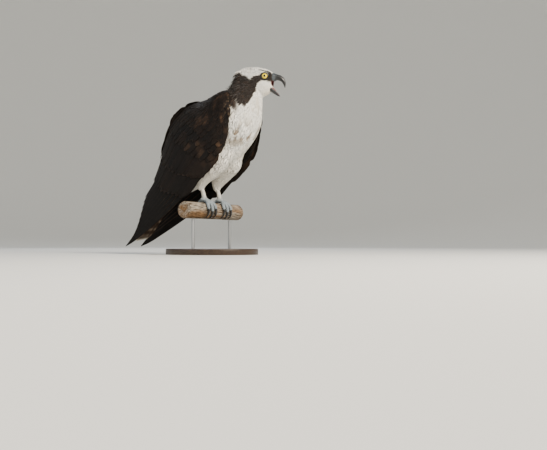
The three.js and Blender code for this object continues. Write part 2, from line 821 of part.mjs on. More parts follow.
function addHead() {
  const upperBill = shaped(UPPER_BILL_ROWS, BILL_DETAIL, HEAD);
  const lowerBill = shaped(LOWER_BILL_ROWS, LOWER_BILL_DETAIL, HEAD);
  const lowerClear = shaped(LOWER_BILL_ROWS, LOWER_BILL_DETAIL, HEAD, GAP);
  const browOf = (side) => shaped(BROW_ROWS, BROW_DETAIL, headSide(side));
  const rims = [1, -1].flatMap((side) => [eyeRim(side), browOf(side)]);
  const locks = NAPE_LOCKS.map(([x, y, z, length, lift, halfWidth]) =>
    lock(
      {
        root: [x, y, z],
        heading: 180 - y * NAPE.fan + NAPE.turnDraw * draw(),
        pitch: lift + NAPE.liftDraw * draw(),
        bend: NAPE.bendDraw * draw(),
        length: length * (1 + NAPE.lengthDraw * draw()),
        halfWidth,
        thickness: NAPE.thickness,
      },
      HEAD,
    ),
  );
  const head = wasm.Manifold.union([headLoft(), ...rims, ...locks])
    .subtract(shaped(MOUTH_ROWS, MOUTH_DETAIL, HEAD))
    .subtract(shaped(UPPER_BILL_ROWS, BILL_DETAIL, HEAD, GAP))
    .subtract(lowerClear)
    .subtract(shaped(TONGUE_ROWS, TONGUE_DETAIL, HEAD, GAP))
    .subtract(eyeball(1, GAP))
    .subtract(eyeball(-1, GAP))
    .subtract(bodyClear);
  addNode(bird, "head", head, COLOUR.white);
  const ahead = v3(1, 0, 0).transformDirection(HEAD);
  const cut = v3(CERE_END, 0, 0).applyMatrix4(HEAD).dot(ahead);
  let cere = upperBill.trimByPlane(ahead.clone().negate().toArray(), -cut);
  for (const side of [1, -1]) {
    cere = cere.subtract(shaped(NOSTRIL_ROWS, NOSTRIL_DETAIL, headSide(side)));
  }
  const horn = upperBill.trimByPlane(ahead.toArray(), cut + GAP);
  addNode(bird, "cere", cere, COLOUR.cere, 0.5);
  addNode(bird, "upper_bill", horn, COLOUR.horn, 0.35);
  addNode(bird, "lower_bill", lowerBill, COLOUR.horn, 0.35);
  const tongue = shaped(TONGUE_ROWS, TONGUE_DETAIL, HEAD).subtract(lowerClear);
  addNode(bird, "tongue", tongue, COLOUR.tongue, 0.5);
  addNode(bird, "eye_left", eyeball(1), COLOUR.iris, 0.1);
  addNode(bird, "eye_right", eyeball(-1), COLOUR.iris, 0.1);
}

// The guide lines are the right wing's, so the left one is its mirror image.
function addWing(side) {
  const place = placeOf(-side);
  const wing = wasm.Manifold.union([wingShell(place), ...wingVanes(place)])
    .subtract(bodyClear)
    .subtract(thighOf(side, GAP))
    .trimByPlane([0, side, 0], WING_MIDDLE);
  addNode(bird, `wing_${sideName(side)}`, wing, COLOUR.dark);
}

function addTail() {
  const rump = shaped(RUMP_ROWS, RUMP_DETAIL);
  const tail = wasm.Manifold.union([rump, ...tailVanes()]).subtract(bodyClear);
  addNode(bird, "tail", tail, COLOUR.dark);
}

function addStand() {
  addNode(bird, "stand_perch", perchSolid(), COLOUR.wood);
  const outline = new THREE.Shape();
  outline.absellipse(0, 0, BASE.length / 2, BASE.width / 2, 0, 2 * Math.PI, false, 0);
  const plate = new THREE.ExtrudeGeometry(outline, {
    depth: BASE.thickness,
    bevelEnabled: false,
    curveSegments: BASE.segments,
  });
  addNode(group, "stand_base", solidOf(plate), COLOUR.base, 0.5);
  const rodTop = FOOT_LEVEL - 2 * PERCH_RADIUS - GAP;
  const rodFoot = BASE.thickness + GAP;
  for (const side of [1, -1]) {
    const rod = new THREE.CylinderGeometry(ROD.radius, ROD.radius, rodTop - rodFoot, ROD.sides)
      .rotateX(Math.PI / 2)
      .translate(0, side * ROD.spread, (rodTop + rodFoot) / 2);
    addNode(group, `stand_rod_${sideName(side)}`, solidOf(rod), COLOUR.rod, 0.35, 0.9);
  }
}

addTorsoAndNeck();
for (const side of [1, -1]) {
  addLeg(side);
  addWing(side);
}
addHead();
addTail();
addStand();

export default group;
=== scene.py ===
"""An adult osprey calling from a cut branch on a display stand, seen from a little below its right side."""

import math

import bpy
import numpy as np
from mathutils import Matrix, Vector
from mathutils.bvhtree import BVHTree


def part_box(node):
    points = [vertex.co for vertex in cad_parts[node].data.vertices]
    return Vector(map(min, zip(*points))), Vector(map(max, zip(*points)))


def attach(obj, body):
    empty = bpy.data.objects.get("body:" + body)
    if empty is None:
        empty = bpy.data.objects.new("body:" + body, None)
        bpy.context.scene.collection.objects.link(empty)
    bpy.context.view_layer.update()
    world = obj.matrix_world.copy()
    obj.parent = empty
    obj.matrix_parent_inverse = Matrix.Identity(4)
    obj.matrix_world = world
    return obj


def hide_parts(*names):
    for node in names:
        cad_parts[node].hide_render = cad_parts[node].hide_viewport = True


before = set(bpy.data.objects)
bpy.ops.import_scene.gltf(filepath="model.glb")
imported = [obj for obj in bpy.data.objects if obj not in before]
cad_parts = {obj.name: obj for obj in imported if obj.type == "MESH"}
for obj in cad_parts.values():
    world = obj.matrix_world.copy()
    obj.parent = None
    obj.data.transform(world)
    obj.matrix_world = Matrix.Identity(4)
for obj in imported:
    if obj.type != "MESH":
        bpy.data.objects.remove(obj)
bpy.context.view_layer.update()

MM = 0.001
FULL_TURN = 2 * np.pi
RANDOM = np.random.default_rng(4182)

# The bird's own level: the top of the perch. Lengths are millimetres, x ahead, y to its left, z up.
FOOT_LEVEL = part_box("stand_perch")[1].z / MM
PERCH_RADIUS = (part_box("stand_perch")[1].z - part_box("stand_perch")[0].z) / MM / 2
BIRD = np.array([0.0, 0.0, FOOT_LEVEL])
HEAD_TURN = math.radians(15)
HEAD_PLACE = np.array([119.0, 5.0, 283.0])

# Body and neck: back x z, belly x z, half-width, height of the widest place.
BODY_ROWS = np.array([
    [-122, 50, -104, 16, 15, 0.5],
    [-122, 78, -76, 22, 32, 0.5],
    [-112, 118, -26, 42, 47, 0.48],
    [-88, 157, 28, 71, 57, 0.46],
    [-52, 195, 70, 102, 62, 0.44],
    [-12, 225, 104, 138, 64, 0.43],
    [20, 246, 125, 172, 61, 0.43],
    [43, 261, 132, 203, 51, 0.46],
    [60, 273, 137, 226, 39, 0.5],
    [74, 287, 139, 241, 31, 0.5],
    [94, 296, 136, 258, 22, 0.5],
], float)
BODY_ROUNDNESS = 0.94
# Head in its own frame: x, top z, bottom z, half-width, height of the widest place.
HEAD_ROWS = np.array([
    [-45, 14, 0, 7, 0.5],
    [-42, 24, -10, 16, 0.5],
    [-34, 30.5, -22, 23, 0.5],
    [-19, 34, -34, 26.5, 0.52],
    [-2, 34, -40, 27.5, 0.54],
    [12, 32, -40, 26.5, 0.56],
    [24, 29, -37, 24, 0.6],
    [34, 24.5, -31, 19, 0.64],
    [43, 18.5, -18, 12.5, 0.62],
], float)
# Limbs and bill: x, y, z, half-width, half-height.
THIGH_ROWS = np.array([
    [44, 24, 128, 24, 38],
    [30, 28, 104, 24, 38],
    [12, 32, 80, 21, 31],
    [-2, 34, 58, 15, 22],
    [-8, 34, 40, 9.5, 13],
    [-6, 33.5, 30, 6.5, 7.5],
], float)
TARSUS_ROWS = np.array([
    [-12, 34, 52, 5.4, 6],
    [-8, 33.6, 38, 4.8, 5.2],
    [-3, 33.2, 24, 4.6, 5],
    [0, 33, 11.6, 5.4, 5.8],
    [1, 33, 6, 6.4, 7],
], float)
SOLE_ROWS = np.array([
    [-9, 33, 4.8, 5.5, 4],
    [-3, 33, 6.2, 8, 5.6],
    [4, 33, 6.2, 8, 5.6],
    [10, 33, 4.6, 5.5, 4],
])
UPPER_BILL_ROWS = np.array([
    [39, 0, 6.2, 9.6, 10.4],
    [44, 0, 6.6, 9.4, 10],
    [52, 0, 6.2, 7.8, 7.4],
    [60, 0, 3.6, 6, 6.6],
    [66.5, 0, -1.6, 4.6, 5.4],
    [70.3, 0, -9.5, 3, 3.2],
    [71.6, 0, -19.2, 0.5, 0.5],
], float)
LOWER_BILL_ROWS = np.array([
    [26, 0, -13, 8.6, 4],
    [35, 0, -18.6, 8.4, 4.6],
    [45, 0, -26, 7, 4.4],
    [53, 0, -32.6, 5, 3.4],
    [59, 0, -38, 2, 1],
], float)
TONGUE_ROWS = np.array([
    [31, 0, -10.2, 4.4, 1.7],
    [39, 0, -15.8, 4, 1.7],
    [46, 0, -21.4, 2.8, 1.3],
    [50, 0, -25, 1, 0.6],
], float)
MOUTH_ROWS = np.array([
    [24, 0, -8, 6, 1.2],
    [32, 0, -7, 8.5, 3.6],
    [46, 0, -8, 9.5, 7],
    [62, 0, -14, 10, 9],
], float)
NOSTRIL_ROWS = np.array([
    [43.6, 9.2, 7.0, 0.5, 0.7],
    [45.4, 9.0, 8.4, 0.8, 1.3],
    [47.2, 8.2, 9.8, 0.5, 0.7],
])
BROW_ROWS = np.array([
    [6, 22.6, 14, 1.5, 1.4],
    [17, 22.6, 17, 2.6, 2.4],
    [28, 20, 17, 3.2, 2.8],
    [37, 15, 14, 2.4, 2.2],
    [42, 11, 11, 1.2, 1.2],
], float)
RUMP_ROWS = np.array([
    [-98, 0, 74, 22, 24], [-118, 0, 40, 22, 16], [-136, 0, 11, 19, 9], [-150, 0, -9, 15, 4],
], float)
# How far the skin lies under the coat, or over the solid where it stands proud.
SKIN_DEPTH = {"body": -3.6, "head": -1.6, "thigh": -2.0, "brow": 1.2, "rump": -2.5, "mouth": 0.2}
THIGH_ROOT_SHARE = 0.72
SKIN_MESH = {"voxel": 1.9, "smoothing": 0.6, "passes": 6}
SKIN_MAP = {"fold": math.radians(66), "margin": 0.002}

EYE = {"x": 27.0, "y": 15.0, "z": 6.5, "radius": 10.2, "ahead": math.radians(12), "raised": 0.04}
CORNEA = {"bulge": 0.55, "from": 0.72, "to": 0.95, "sunk": 0.5}
IRIS = {"pupil": (2.75, 3.0), "inner": (3.3, 2.6), "outer": (5.0, 6.2), "rim": (6.0, 6.35)}
LID = {"inner": 6.5, "outer": 9.7}
LEG_SPREAD = 33.0
# Each toe's end round the perch in degrees, and how far it splays from the leg.
TOES = {"inner": (82, -15), "middle": (96, -1), "outer": (84, 14), "hind": (-80, -4)}
TOE_RADIUS = (5.0, 3.6)
TALON = {"rooted": 4, "sweep": 66, "base": 3.3, "tip": 0.3, "lift": 1.6, "taper": 1.25, "clear": 0.4,
         "splay": 0.15, "flat": 0.88}
GAP = 0.3

# The right wing's outer face: lines along its back edge, its bulge and its front edge.
WING_BACK_LINE = np.array([
    [54, -15, 267], [24, -12, 259], [-14, -8, 248], [-71, -5, 234], [-119, -4, 192],
    [-148, -3, 124], [-170, -6, 62], [-204, -13, 4], [-236, -22, -90],
], float)
WING_SIDE_LINE = np.array([
    [76, -50, 258], [60, -88, 246], [30, -97, 212], [-6, -97, 172], [-46, -91, 130],
    [-84, -81, 84], [-126, -62, 38], [-182, -46, -22], [-242, -27, -99],
], float)
WING_FRONT_LINE = np.array([
    [84, -46, 246], [96, -71, 212], [89, -74, 170], [73, -74, 126], [45, -73, 93],
    [10, -70, 62], [-40, -61, 14], [-138, -45, -48], [-245, -31, -108],
], float)
TAIL_LINE = np.array([[-116, 0, 34], [-150, 0, -8], [-184, 0, -48], [-226, 0, -92]], float)


def linear(text):
    """An sRGB hex colour as linear red, green and blue."""
    value = np.array([int(text[i:i + 2], 16) for i in (1, 3, 5)]) / 255
    return np.where(value <= 0.04045, value / 12.92, ((value + 0.055) / 1.055) ** 2.4)


PLUME = {
    "white": linear("#f7f4ec"),
    "cream": linear("#e6dcc8"),
    # The streak colour is painted shade on the white breast.
    "streak": linear("#8f7b64"),
    # The leg colour is painted shade on the white thigh feathers.
    "leg": linear("#ebe5da"),
    # Grey: the crown's own streaks, and painted shade down the flank.
    "grey": linear("#827e77"),
    # Lore: the dark lores, and the brow's dark feathers with painted shadow under the brow ridge.
    "lore": linear("#3b3c3e"),
    "mask": linear("#211812"),
    "neck": linear("#33251b"),
    "mantle": linear("#1a120d"),
    "flight": linear("#0d0a08"),
    "edge": linear("#4d3b2d"),
    "worn": linear("#55402f"),
    "bar": linear("#8a7a68"),
    "buff": linear("#8f7a62"),
    "gape": linear("#4c1b1e"),
}
HORN = {
    "upper": linear("#0d0e10"),
    "upper_base": linear("#20262b"),
    "lower": linear("#17181b"),
    "cutting_edge": linear("#8f8f88"),
    "claw": linear("#141416"),
}
BARE = {
    "cere": linear("#4d555b"),
    "cere_worn": linear("#23272b"),
    "tongue": linear("#9c5c58"),
    "tongue_furrow": linear("#74403f"),
    "nostril": linear("#08090a"),
    "lid": linear("#131211"),
    "lid_fold": linear("#2e2c2b"),
    "shank": linear("#d2d0c8"),
    "toe": linear("#88939a"),
}
EYE_COLOUR = {"iris": linear("#f0d80c"), "iris_deep": linear("#cf9a05"), "black": linear("#060505")}


def smooth(x, low=0.0, high=1.0):
    """Zero at low, one at high and an easy curve between them."""
    k = np.clip((x - low) / (high - low), 0, 1)
    return k * k * (3 - 2 * k)


def bell(x, middle, spread):
    return np.exp(-((x - middle) / spread) ** 2)


def signed_power(x, power):
    return np.sign(x) * np.abs(x) ** power


def blend(a, b, share):
    return a + (b - a) * np.asarray(share)[..., None]


def all_over(colour, points):
    return np.broadcast_to(colour, points.shape)


def circle(count, offset=0.0):
    """Angles round a full turn."""
    return FULL_TURN * (np.arange(count) + offset) / count


def round_angles(count):
    return np.linspace(0, FULL_TURN, count, endpoint=False)


def along(rows, u):
    """The rows' values at a share u of their length, on a smooth curve through every row."""
    last = len(rows) - 1
    at = np.clip(np.asarray(u, float), 0, 1) * last
    i = np.minimum(last - 1, np.floor(at).astype(int))
    k = (at - i)[..., None]
    p1, p2 = rows[i], rows[i + 1]
    p0 = np.where((i > 0)[..., None], rows[np.maximum(i - 1, 0)], 2 * p1 - p2)
    p3 = np.where((i + 2 <= last)[..., None], rows[np.minimum(i + 2, last)], 2 * p2 - p1)
    bend = 2 * p0 - 5 * p1 + 4 * p2 - p3
    twist = -p0 + 3 * p1 - 3 * p2 + p3
    return 0.5 * (2 * p1 + (p2 - p0) * k + bend * k ** 2 + twist * k ** 3)


def unit(v):
    return v / np.maximum(np.linalg.norm(v, axis=-1, keepdims=True), 1e-12)


# Whole numbers that scramble a cell's place into noise.
HASH_AXES = (73856093, 19349663, 83492791)
HASH_SEED, HASH_MIX, HASH_MASK = 2654435761, 1274126177, 0xFFFFFFFF
# Patches of colour and relief: how large each is across, and its own seed.
PATCHES = {
    "mask_edge": (5.0, 3), "mask_fringe": (2.2, 4), "crown": (3.0, 5), "nape": (3.4, 6),
    "head_warmth": (9, 7), "mask": (7, 8), "coat_edge": (14.0, 11), "coat_fringe": (5.0, 12),
    "coat_warmth": (22, 13), "breast_shade": (9, 14), "flank_shade": (10, 15), "mantle": (9, 16),
    "worn_covert": (11, 21), "wing_base": (12, 0), "bill": (4, 0), "cere": (3.5, 0),
    "tongue": (2.5, 0), "lid": (1.6, 0), "toe": (3, 0),
    "split": (3.2, 31), "fine_split": (1.5, 32), "branch_swell": (16, 33), "branch_grain": (1.1, 34),
}
# Patches drawn out along the feathers.
DRAWN_OUT = {"head": [0.4, 1, 1], "body": [1, 1, 0.45], "wing": [1, 1, 0.35]}


def patchy(points, kind):
    """Smooth noise between -1 and 1 in patches of the kind named."""
    size, seed = PATCHES[kind]
    q = np.asarray(points, float) / size
    base = np.floor(q).astype(np.int64)
    f = q - base
    f = f * f * (3 - 2 * f)
    total = np.zeros(q.shape[:-1])
    for corner in np.ndindex(2, 2, 2):
        cell = base + np.array(corner)
        h = cell[..., 0] * HASH_AXES[0] ^ cell[..., 1] * HASH_AXES[1] ^ cell[..., 2] * HASH_AXES[2]
        h = h ^ (seed + 1) * HASH_SEED
        h = (h ^ (h >> 13)) * HASH_MIX & HASH_MASK
        h = (h ^ (h >> 16)) / HASH_MASK * 2 - 1
        weight = np.prod(np.where(np.array(corner) == 1, f, 1 - f), axis=-1)
        total += weight * h
    return total


HEAD_AXES = np.array([
    [math.cos(HEAD_TURN), -math.sin(HEAD_TURN), 0],
    [math.sin(HEAD_TURN), math.cos(HEAD_TURN), 0],
    [0, 0, 1],
])


def to_bird(head_points):
    """Points of the head's frame in the bird's."""
    return head_points @ HEAD_AXES.T + HEAD_PLACE


def to_head(bird_points):
    """Points of the bird's frame in the head's."""
    return (bird_points - HEAD_PLACE) @ HEAD_AXES


def mirror(points, side):
    return points * np.array([1, side, 1])


def side_name(side):
    return "left" if side == 1 else "right"


# Surfaces

def body_point(u, angle, grow=0.0):
    """Places on the trunk: u from tail to neck, the angle round it."""
    row = along(BODY_ROWS, u)
    belly = np.stack([row[..., 2], np.zeros_like(row[..., 0]), row[..., 3]], -1)
    up = np.stack([row[..., 0] - row[..., 2], np.zeros_like(row[..., 0]), row[..., 1] - row[..., 3]], -1)
    height = np.linalg.norm(up, axis=-1)
    up = up / height[..., None]
    c, s = signed_power(np.cos(angle), BODY_ROUNDNESS), signed_power(np.sin(angle), BODY_ROUNDNESS)
    reach = np.where(s > 0, height * (1 - row[..., 5]), height * row[..., 5])
    point = belly + up * (height * row[..., 5] + s * (reach + grow))[..., None]
    point[..., 1] += c * (row[..., 4] + grow)
    return point


def head_point(u, angle, grow=0.0):
    """Places on the head in its own frame: u from nape to bill, the angle round it."""
    row = along(HEAD_ROWS, u)
    centre = row[..., 2] + (row[..., 1] - row[..., 2]) * row[..., 4]
    s = np.sin(angle)
    reach = np.where(s > 0, row[..., 1] - centre, centre - row[..., 2])
    return np.stack([row[..., 0], np.cos(angle) * (row[..., 3] + grow), centre + s * (reach + grow)], -1)


STEP = 0.01
STEEP = 0.8


def limb_grid(rows, rings, sides, grow=0.0, section=None):
    """Rings of points round a limb's centre line. A section bends the round into another outline."""
    u = np.linspace(0, 1, rings + 1)
    row = along(rows, u)
    before, after = along(rows, np.maximum(0, u - STEP)), along(rows, np.minimum(1, u + STEP))
    forward = unit(after[:, :3] - before[:, :3])
    side = np.where(np.abs(forward[:, 1:2]) > STEEP, [[1.0, 0, 0]], [[0, 1.0, 0]])
    across = unit(side - forward * np.sum(forward * side, -1, keepdims=True))
    up = np.cross(forward, across)
    angle = circle(sides, 0.5)
    c, s = np.cos(angle), np.sin(angle)
    if section:
        c, s = section(c[None, :], s[None, :], u[:, None])
    else:
        c, s = np.broadcast_to(c, (rings + 1, sides)), np.broadcast_to(s, (rings + 1, sides))
    grid = row[:, None, :3] + across[:, None] * (c * (row[:, 3:4] + grow))[..., None]
    return grid + up[:, None] * (s * (row[:, 4:5] + grow))[..., None]


def wing_point(s, t, lift=0.0):
    """The right wing's outer face: s from its shoulder to its tip, t from its back edge to its front."""
    def at(ss, tt):
        tt = np.asarray(tt, float)[..., None]
        back, side, front = (along(line, ss) for line in (WING_BACK_LINE, WING_SIDE_LINE, WING_FRONT_LINE))
        return (1 - tt) ** 2 * back + 2 * tt * (1 - tt) * side + tt ** 2 * front
    s, t = np.broadcast_arrays(np.asarray(s, float), np.asarray(t, float))
    ds = at(np.minimum(1, s + STEP), t) - at(np.maximum(0, s - STEP), t)
    dt = at(s, np.minimum(1, t + STEP)) - at(s, np.maximum(0, t - STEP))
    return at(s, t) + unit(np.cross(ds, dt)) * np.asarray(lift, float)[..., None]


def wing_breadth(s, t):
    """How wide the wing is across at a place, in millimetres for a whole t."""
    step = 2 * STEP
    across = wing_point(s, t + step) - wing_point(s, t - step)
    return np.linalg.norm(across, axis=-1) / (2 * step)


def wing_map(side, s, t):
    """A wing's places on its own map: the right wing in the lower half of u, the left in the upper."""
    return np.stack([0.02 + 0.44 * s + (0.5 if side == 1 else 0), 0.02 + 0.96 * t], -1)


# Meshes

def with_alpha(colours):
    return np.concatenate([colours, np.ones((len(colours), 1))], 1).astype(np.float32).ravel()


def make_piece(name, points, faces, material, colours=None, uv=None, rounded=True):
    """A mesh object from points of the bird's frame and an array of faces, all or some of them rounded."""
    mesh = bpy.data.meshes.new(name)
    points = (np.asarray(points, float) + BIRD) * MM
    corners = faces.shape[1]
    mesh.vertices.add(len(points))
    mesh.vertices.foreach_set("co", points.astype(np.float32).ravel())
    mesh.loops.add(faces.size)
    mesh.loops.foreach_set("vertex_index", faces.astype(np.int32).ravel())
    mesh.polygons.add(len(faces))
    mesh.polygons.foreach_set("loop_start", np.arange(0, faces.size, corners, dtype=np.int32))
    mesh.update(calc_edges=True)
    mesh.polygons.foreach_set("use_smooth", np.broadcast_to(rounded, len(faces)).copy())
    if colours is not None:
        layer = mesh.color_attributes.new("Markings", "FLOAT_COLOR", "POINT")
        layer.data.foreach_set("color", with_alpha(colours))
    if uv is not None:
        layer = mesh.uv_layers.new(name="OFBake")
        layer.data.foreach_set("uv", uv[faces.ravel()].astype(np.float32).ravel())
    mesh.materials.append(material)
    piece = bpy.data.objects.new(name, mesh)
    bpy.context.scene.collection.objects.link(piece)
    return piece


def fit(piece, slot, *nodes):
    """Makes a piece part of the bird or its stand, and hides the solids whose place it takes."""
    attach(piece, "root")
    if nodes:
        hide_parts(*nodes)
    return piece


def grid_faces(rows, columns, closed=False):
    i, j = np.meshgrid(np.arange(rows - 1), np.arange(columns if closed else columns - 1), indexing="ij")
    a = (i * columns + j).ravel()
    b = (i * columns + (j + 1) % columns).ravel()
    return np.stack([a, b, b + columns, a + columns], 1)


END_SHARE = 0.02


def closed_loft(grid):
    """Points and quads of a tube of rings, its ends closed by small inner rings."""
    first, last = grid[:1].mean(1, keepdims=True), grid[-1:].mean(1, keepdims=True)
    rings = [first + (grid[:1] - first) * END_SHARE, grid, last + (grid[-1:] - last) * END_SHARE]
    full = np.concatenate(rings)
    rows, columns = full.shape[:2]
    return full.reshape(-1, 3), grid_faces(rows, columns, closed=True)


def join_lofts(grids):
    points, faces, start = [], [], 0
    for grid in grids:
        p, f = closed_loft(grid)
        points.append(p)
        faces.append(f + start)
        start += len(p)
    return np.concatenate(points), np.concatenate(faces)


def apply_modifiers(piece, *steps):
    for kind, settings in steps:
        modifier = piece.modifiers.new(kind.title(), kind)
        for key, value in settings.items():
            setattr(modifier, key, value)
    graph = bpy.context.evaluated_depsgraph_get()
    mesh = bpy.data.meshes.new_from_object(piece.evaluated_get(graph))
    piece.modifiers.clear()
    piece.data = mesh
    return piece


def points_of(piece):
    co = np.zeros(len(piece.data.vertices) * 3, np.float32)
    piece.data.vertices.foreach_get("co", co)
    return co.reshape(-1, 3).astype(float) / MM - BIRD


def round_off(piece):
    for polygon in piece.data.polygons:
        polygon.use_smooth = True


def paint(piece, colours):
    layer = piece.data.color_attributes.get("Markings")
    layer = layer or piece.data.color_attributes.new("Markings", "FLOAT_COLOR", "POINT")
    layer.data.foreach_set("color", with_alpha(colours))
    piece.data.color_attributes.active_color = layer


# Materials

def rgba(hex_text):
    return (*linear(hex_text), 1.0)


def per(size_mm):
    """A pattern's scale from the real size of one of its marks."""
    return 1 / (size_mm * MM)


def add(tree, kind, inputs=(), stops=(), **settings):
    """Adds a node with its settings, sets or links the inputs named and colours a ramp's stops."""
    node = tree.nodes.new(kind)
    for key, value in settings.items():
        setattr(node, key, value)
    for key, value in dict(inputs).items():
        if isinstance(value, bpy.types.NodeSocket):
            tree.links.new(value, node.inputs[key])
        else:
            node.inputs[key].default_value = value
    for number, (position, hex_text) in enumerate(stops):
        stop = node.color_ramp.elements[number]
        stop.position, stop.color = position, rgba(hex_text)
    return node


def new_surface(name, **sockets):
    material = bpy.data.materials.new(name)
    material.use_nodes = True
    tree = material.node_tree
    shader = tree.nodes["Principled BSDF"]
    for key, value in sockets.items():
        shader.inputs[key.replace("_", " ").title().replace("Ior", "IOR")].default_value = value
    return material, tree, shader


def raise_relief(tree, shader, height, strength, depth_mm):
    bump = add(tree, "ShaderNodeBump", {"Height": height, "Strength": strength, "Distance": depth_mm * MM})
    tree.links.new(bump.outputs["Normal"], shader.inputs["Normal"])


def lay_markings(tree, shader, level):
    """The surface's own markings, darker and lighter by a level."""
    mark = add(tree, "ShaderNodeAttribute", attribute_name="Markings")
    tint = add(tree, "ShaderNodeVectorMath", {0: mark.outputs["Color"], "Scale": level}, operation="SCALE")
    tree.links.new(tint.outputs["Vector"], shader.inputs["Base Color"])


def plumage(name, roughness, sheen, barb_mm, contrast, specular):
    """Feather keratin: matt, with the soft sheen of its barbs and their fine ribbing across the vane.

    Real barbs stand a few tenths of a millimetre apart. They are drawn coarser, so that the ribbing shows."""
    material, tree, shader = new_surface(name, roughness=roughness, specular_ior_level=specular,
                                         sheen_weight=sheen, sheen_roughness=0.5)
    place = add(tree, "ShaderNodeNewGeometry").outputs["Position"]
    mottle = add(tree, "ShaderNodeTexNoise", {"Vector": place, "Scale": per(6), "Detail": 3.0})
    barbs = add(tree, "ShaderNodeTexNoise", {"Vector": place, "Scale": per(barb_mm), "Detail": 2.0})
    level = add(tree, "ShaderNodeMapRange", {"Value": mottle.outputs["Fac"], "From Min": 0.3, "From Max": 0.7,
                                             "To Min": 1 - contrast, "To Max": 1 + contrast})
    lay_markings(tree, shader, level.outputs["Result"])
    raise_relief(tree, shader, barbs.outputs["Fac"], 0.35, 0.3)
    return material


def horn(name, roughness, coat):
    """Bill and claw keratin: hard black horn with a faint grain along it and a satin polish."""
    material, tree, shader = new_surface(name, roughness=roughness, coat_weight=coat, coat_roughness=0.12,
                                         ior=1.54)
    place = add(tree, "ShaderNodeNewGeometry").outputs["Position"]
    grain = add(tree, "ShaderNodeTexNoise", {"Vector": place, "Scale": per(1.4), "Detail": 4.0})
    level = add(tree, "ShaderNodeMapRange", {"Value": grain.outputs["Fac"], "From Min": 0.3, "From Max": 0.75,
                                             "To Min": 0.75, "To Max": 1.35})
    worn = add(tree, "ShaderNodeMapRange", {"Value": grain.outputs["Fac"], "To Min": roughness - 0.06,
                                            "To Max": roughness + 0.14})
    lay_markings(tree, shader, level.outputs["Result"])
    tree.links.new(worn.outputs["Result"], shader.inputs["Roughness"])
    raise_relief(tree, shader, grain.outputs["Fac"], 0.25, 0.15)
    return material


def bare_skin(name, scale_mm, roughness, depth_mm, wet=0.0):
    """Bare skin with small raised scales, dull where dry and glossy where moist."""
    material, tree, shader = new_surface(name, roughness=roughness, coat_weight=wet, coat_roughness=0.08,
                                         specular_ior_level=0.4)
    place = add(tree, "ShaderNodeNewGeometry").outputs["Position"]
    scales = add(tree, "ShaderNodeTexVoronoi", {"Vector": place, "Scale": per(scale_mm)},
                 feature="DISTANCE_TO_EDGE")
    groove = add(tree, "ShaderNodeMapRange", {"Value": scales.outputs["Distance"], "From Max": 0.16,
                                              "To Min": 0.62, "To Max": 1.05})
    lay_markings(tree, shader, groove.outputs["Result"])
    raise_relief(tree, shader, groove.outputs["Result"], 0.7, depth_mm)
    return material


def wet_cornea():
    """The eye: a clear wet cornea over the iris, so a hard gloss with a sharp highlight."""
    material, tree, shader = new_surface("wet_cornea", roughness=0.12, coat_weight=1.0, coat_roughness=0.0,
                                         ior=1.38)
    mark = add(tree, "ShaderNodeAttribute", attribute_name="Markings")
    tree.links.new(mark.outputs["Color"], shader.inputs["Base Color"])
    return material


def drawn_along(tree, scale):
    """Places on an object, with the pattern drawn out where the scale is small."""
    place = add(tree, "ShaderNodeTexCoord")
    drawn = add(tree, "ShaderNodeMapping", {"Vector": place.outputs["Object"], "Scale": scale})
    return drawn.outputs["Vector"]


def weathered_wood():
    """A dead branch long out of doors: silver grey with open splits along the grain and brown patches."""
    material, tree, shader = new_surface("weathered_branch_wood", roughness=0.85, specular_ior_level=0.25)
    place = drawn_along(tree, (1.0, 0.12, 1.0))
    grain = add(tree, "ShaderNodeTexNoise", {"Vector": place, "Scale": per(2.4), "Detail": 8.0,
                                             "Roughness": 0.65})
    patch = add(tree, "ShaderNodeTexNoise", {"Vector": place, "Scale": per(16), "Detail": 5.0})
    silver = add(tree, "ShaderNodeValToRGB", {"Fac": grain.outputs["Fac"]},
                 stops=((0.36, "#1d1712"), (0.62, "#a59a8a")))
    brown = add(tree, "ShaderNodeValToRGB", {"Fac": grain.outputs["Fac"]},
                stops=((0.34, "#20150d"), (0.66, "#8d6c4a")))
    share = add(tree, "ShaderNodeMapRange", {"Value": patch.outputs["Fac"], "From Min": 0.42,
                                             "From Max": 0.6})
    # The mix's inputs for colours are its seventh and eighth.
    mix = add(tree, "ShaderNodeMix", {0: share.outputs["Result"], 6: silver.outputs["Color"],
                                      7: brown.outputs["Color"]}, data_type="RGBA")
    tree.links.new(mix.outputs[2], shader.inputs["Base Color"])
    raise_relief(tree, shader, grain.outputs["Fac"], 0.9, 0.9)
    return material


def stained_board():
    """A sawn hardwood board, stained dark and oiled: growth lines a few millimetres apart, a low gloss."""
    material, tree, shader = new_surface("stained_board", roughness=0.42, specular_ior_level=0.35)
    grain = add(tree, "ShaderNodeTexNoise", {"Vector": drawn_along(tree, (0.1, 1.0, 1.0)),
                                             "Scale": per(1.6), "Detail": 6.0})
    tone = add(tree, "ShaderNodeValToRGB", {"Fac": grain.outputs["Fac"]},
               stops=((0.35, "#2b211a"), (0.7, "#4a3a2d")))
    tree.links.new(tone.outputs["Color"], shader.inputs["Base Color"])
    raise_relief(tree, shader, grain.outputs["Fac"], 0.2, 0.3)
    return material


def brushed_steel():
    """Stainless rod: a bright metal softened by fine brushing along it."""
    material, tree, shader = new_surface("brushed_steel", metallic=1.0, roughness=0.32,
                                         base_color=rgba("#b9bbbd"))
    scratches = add(tree, "ShaderNodeTexNoise", {"Vector": drawn_along(tree, (1.0, 1.0, 0.04)),
                                                 "Scale": per(0.7), "Detail": 4.0})
    rough = add(tree, "ShaderNodeMapRange", {"Value": scratches.outputs["Fac"], "From Min": 0.3,
                                             "From Max": 0.7, "To Min": 0.24, "To Max": 0.42})
    tree.links.new(rough.outputs["Result"], shader.inputs["Roughness"])
    raise_relief(tree, shader, scratches.outputs["Fac"], 0.2, 0.06)
    return material


def backdrop_paper():
    """Matt studio paper: pale, with no gloss."""
    return new_surface("backdrop_paper", roughness=0.95, specular_ior_level=0.1,
                       base_color=rgba("#dcdcd8"))[0]


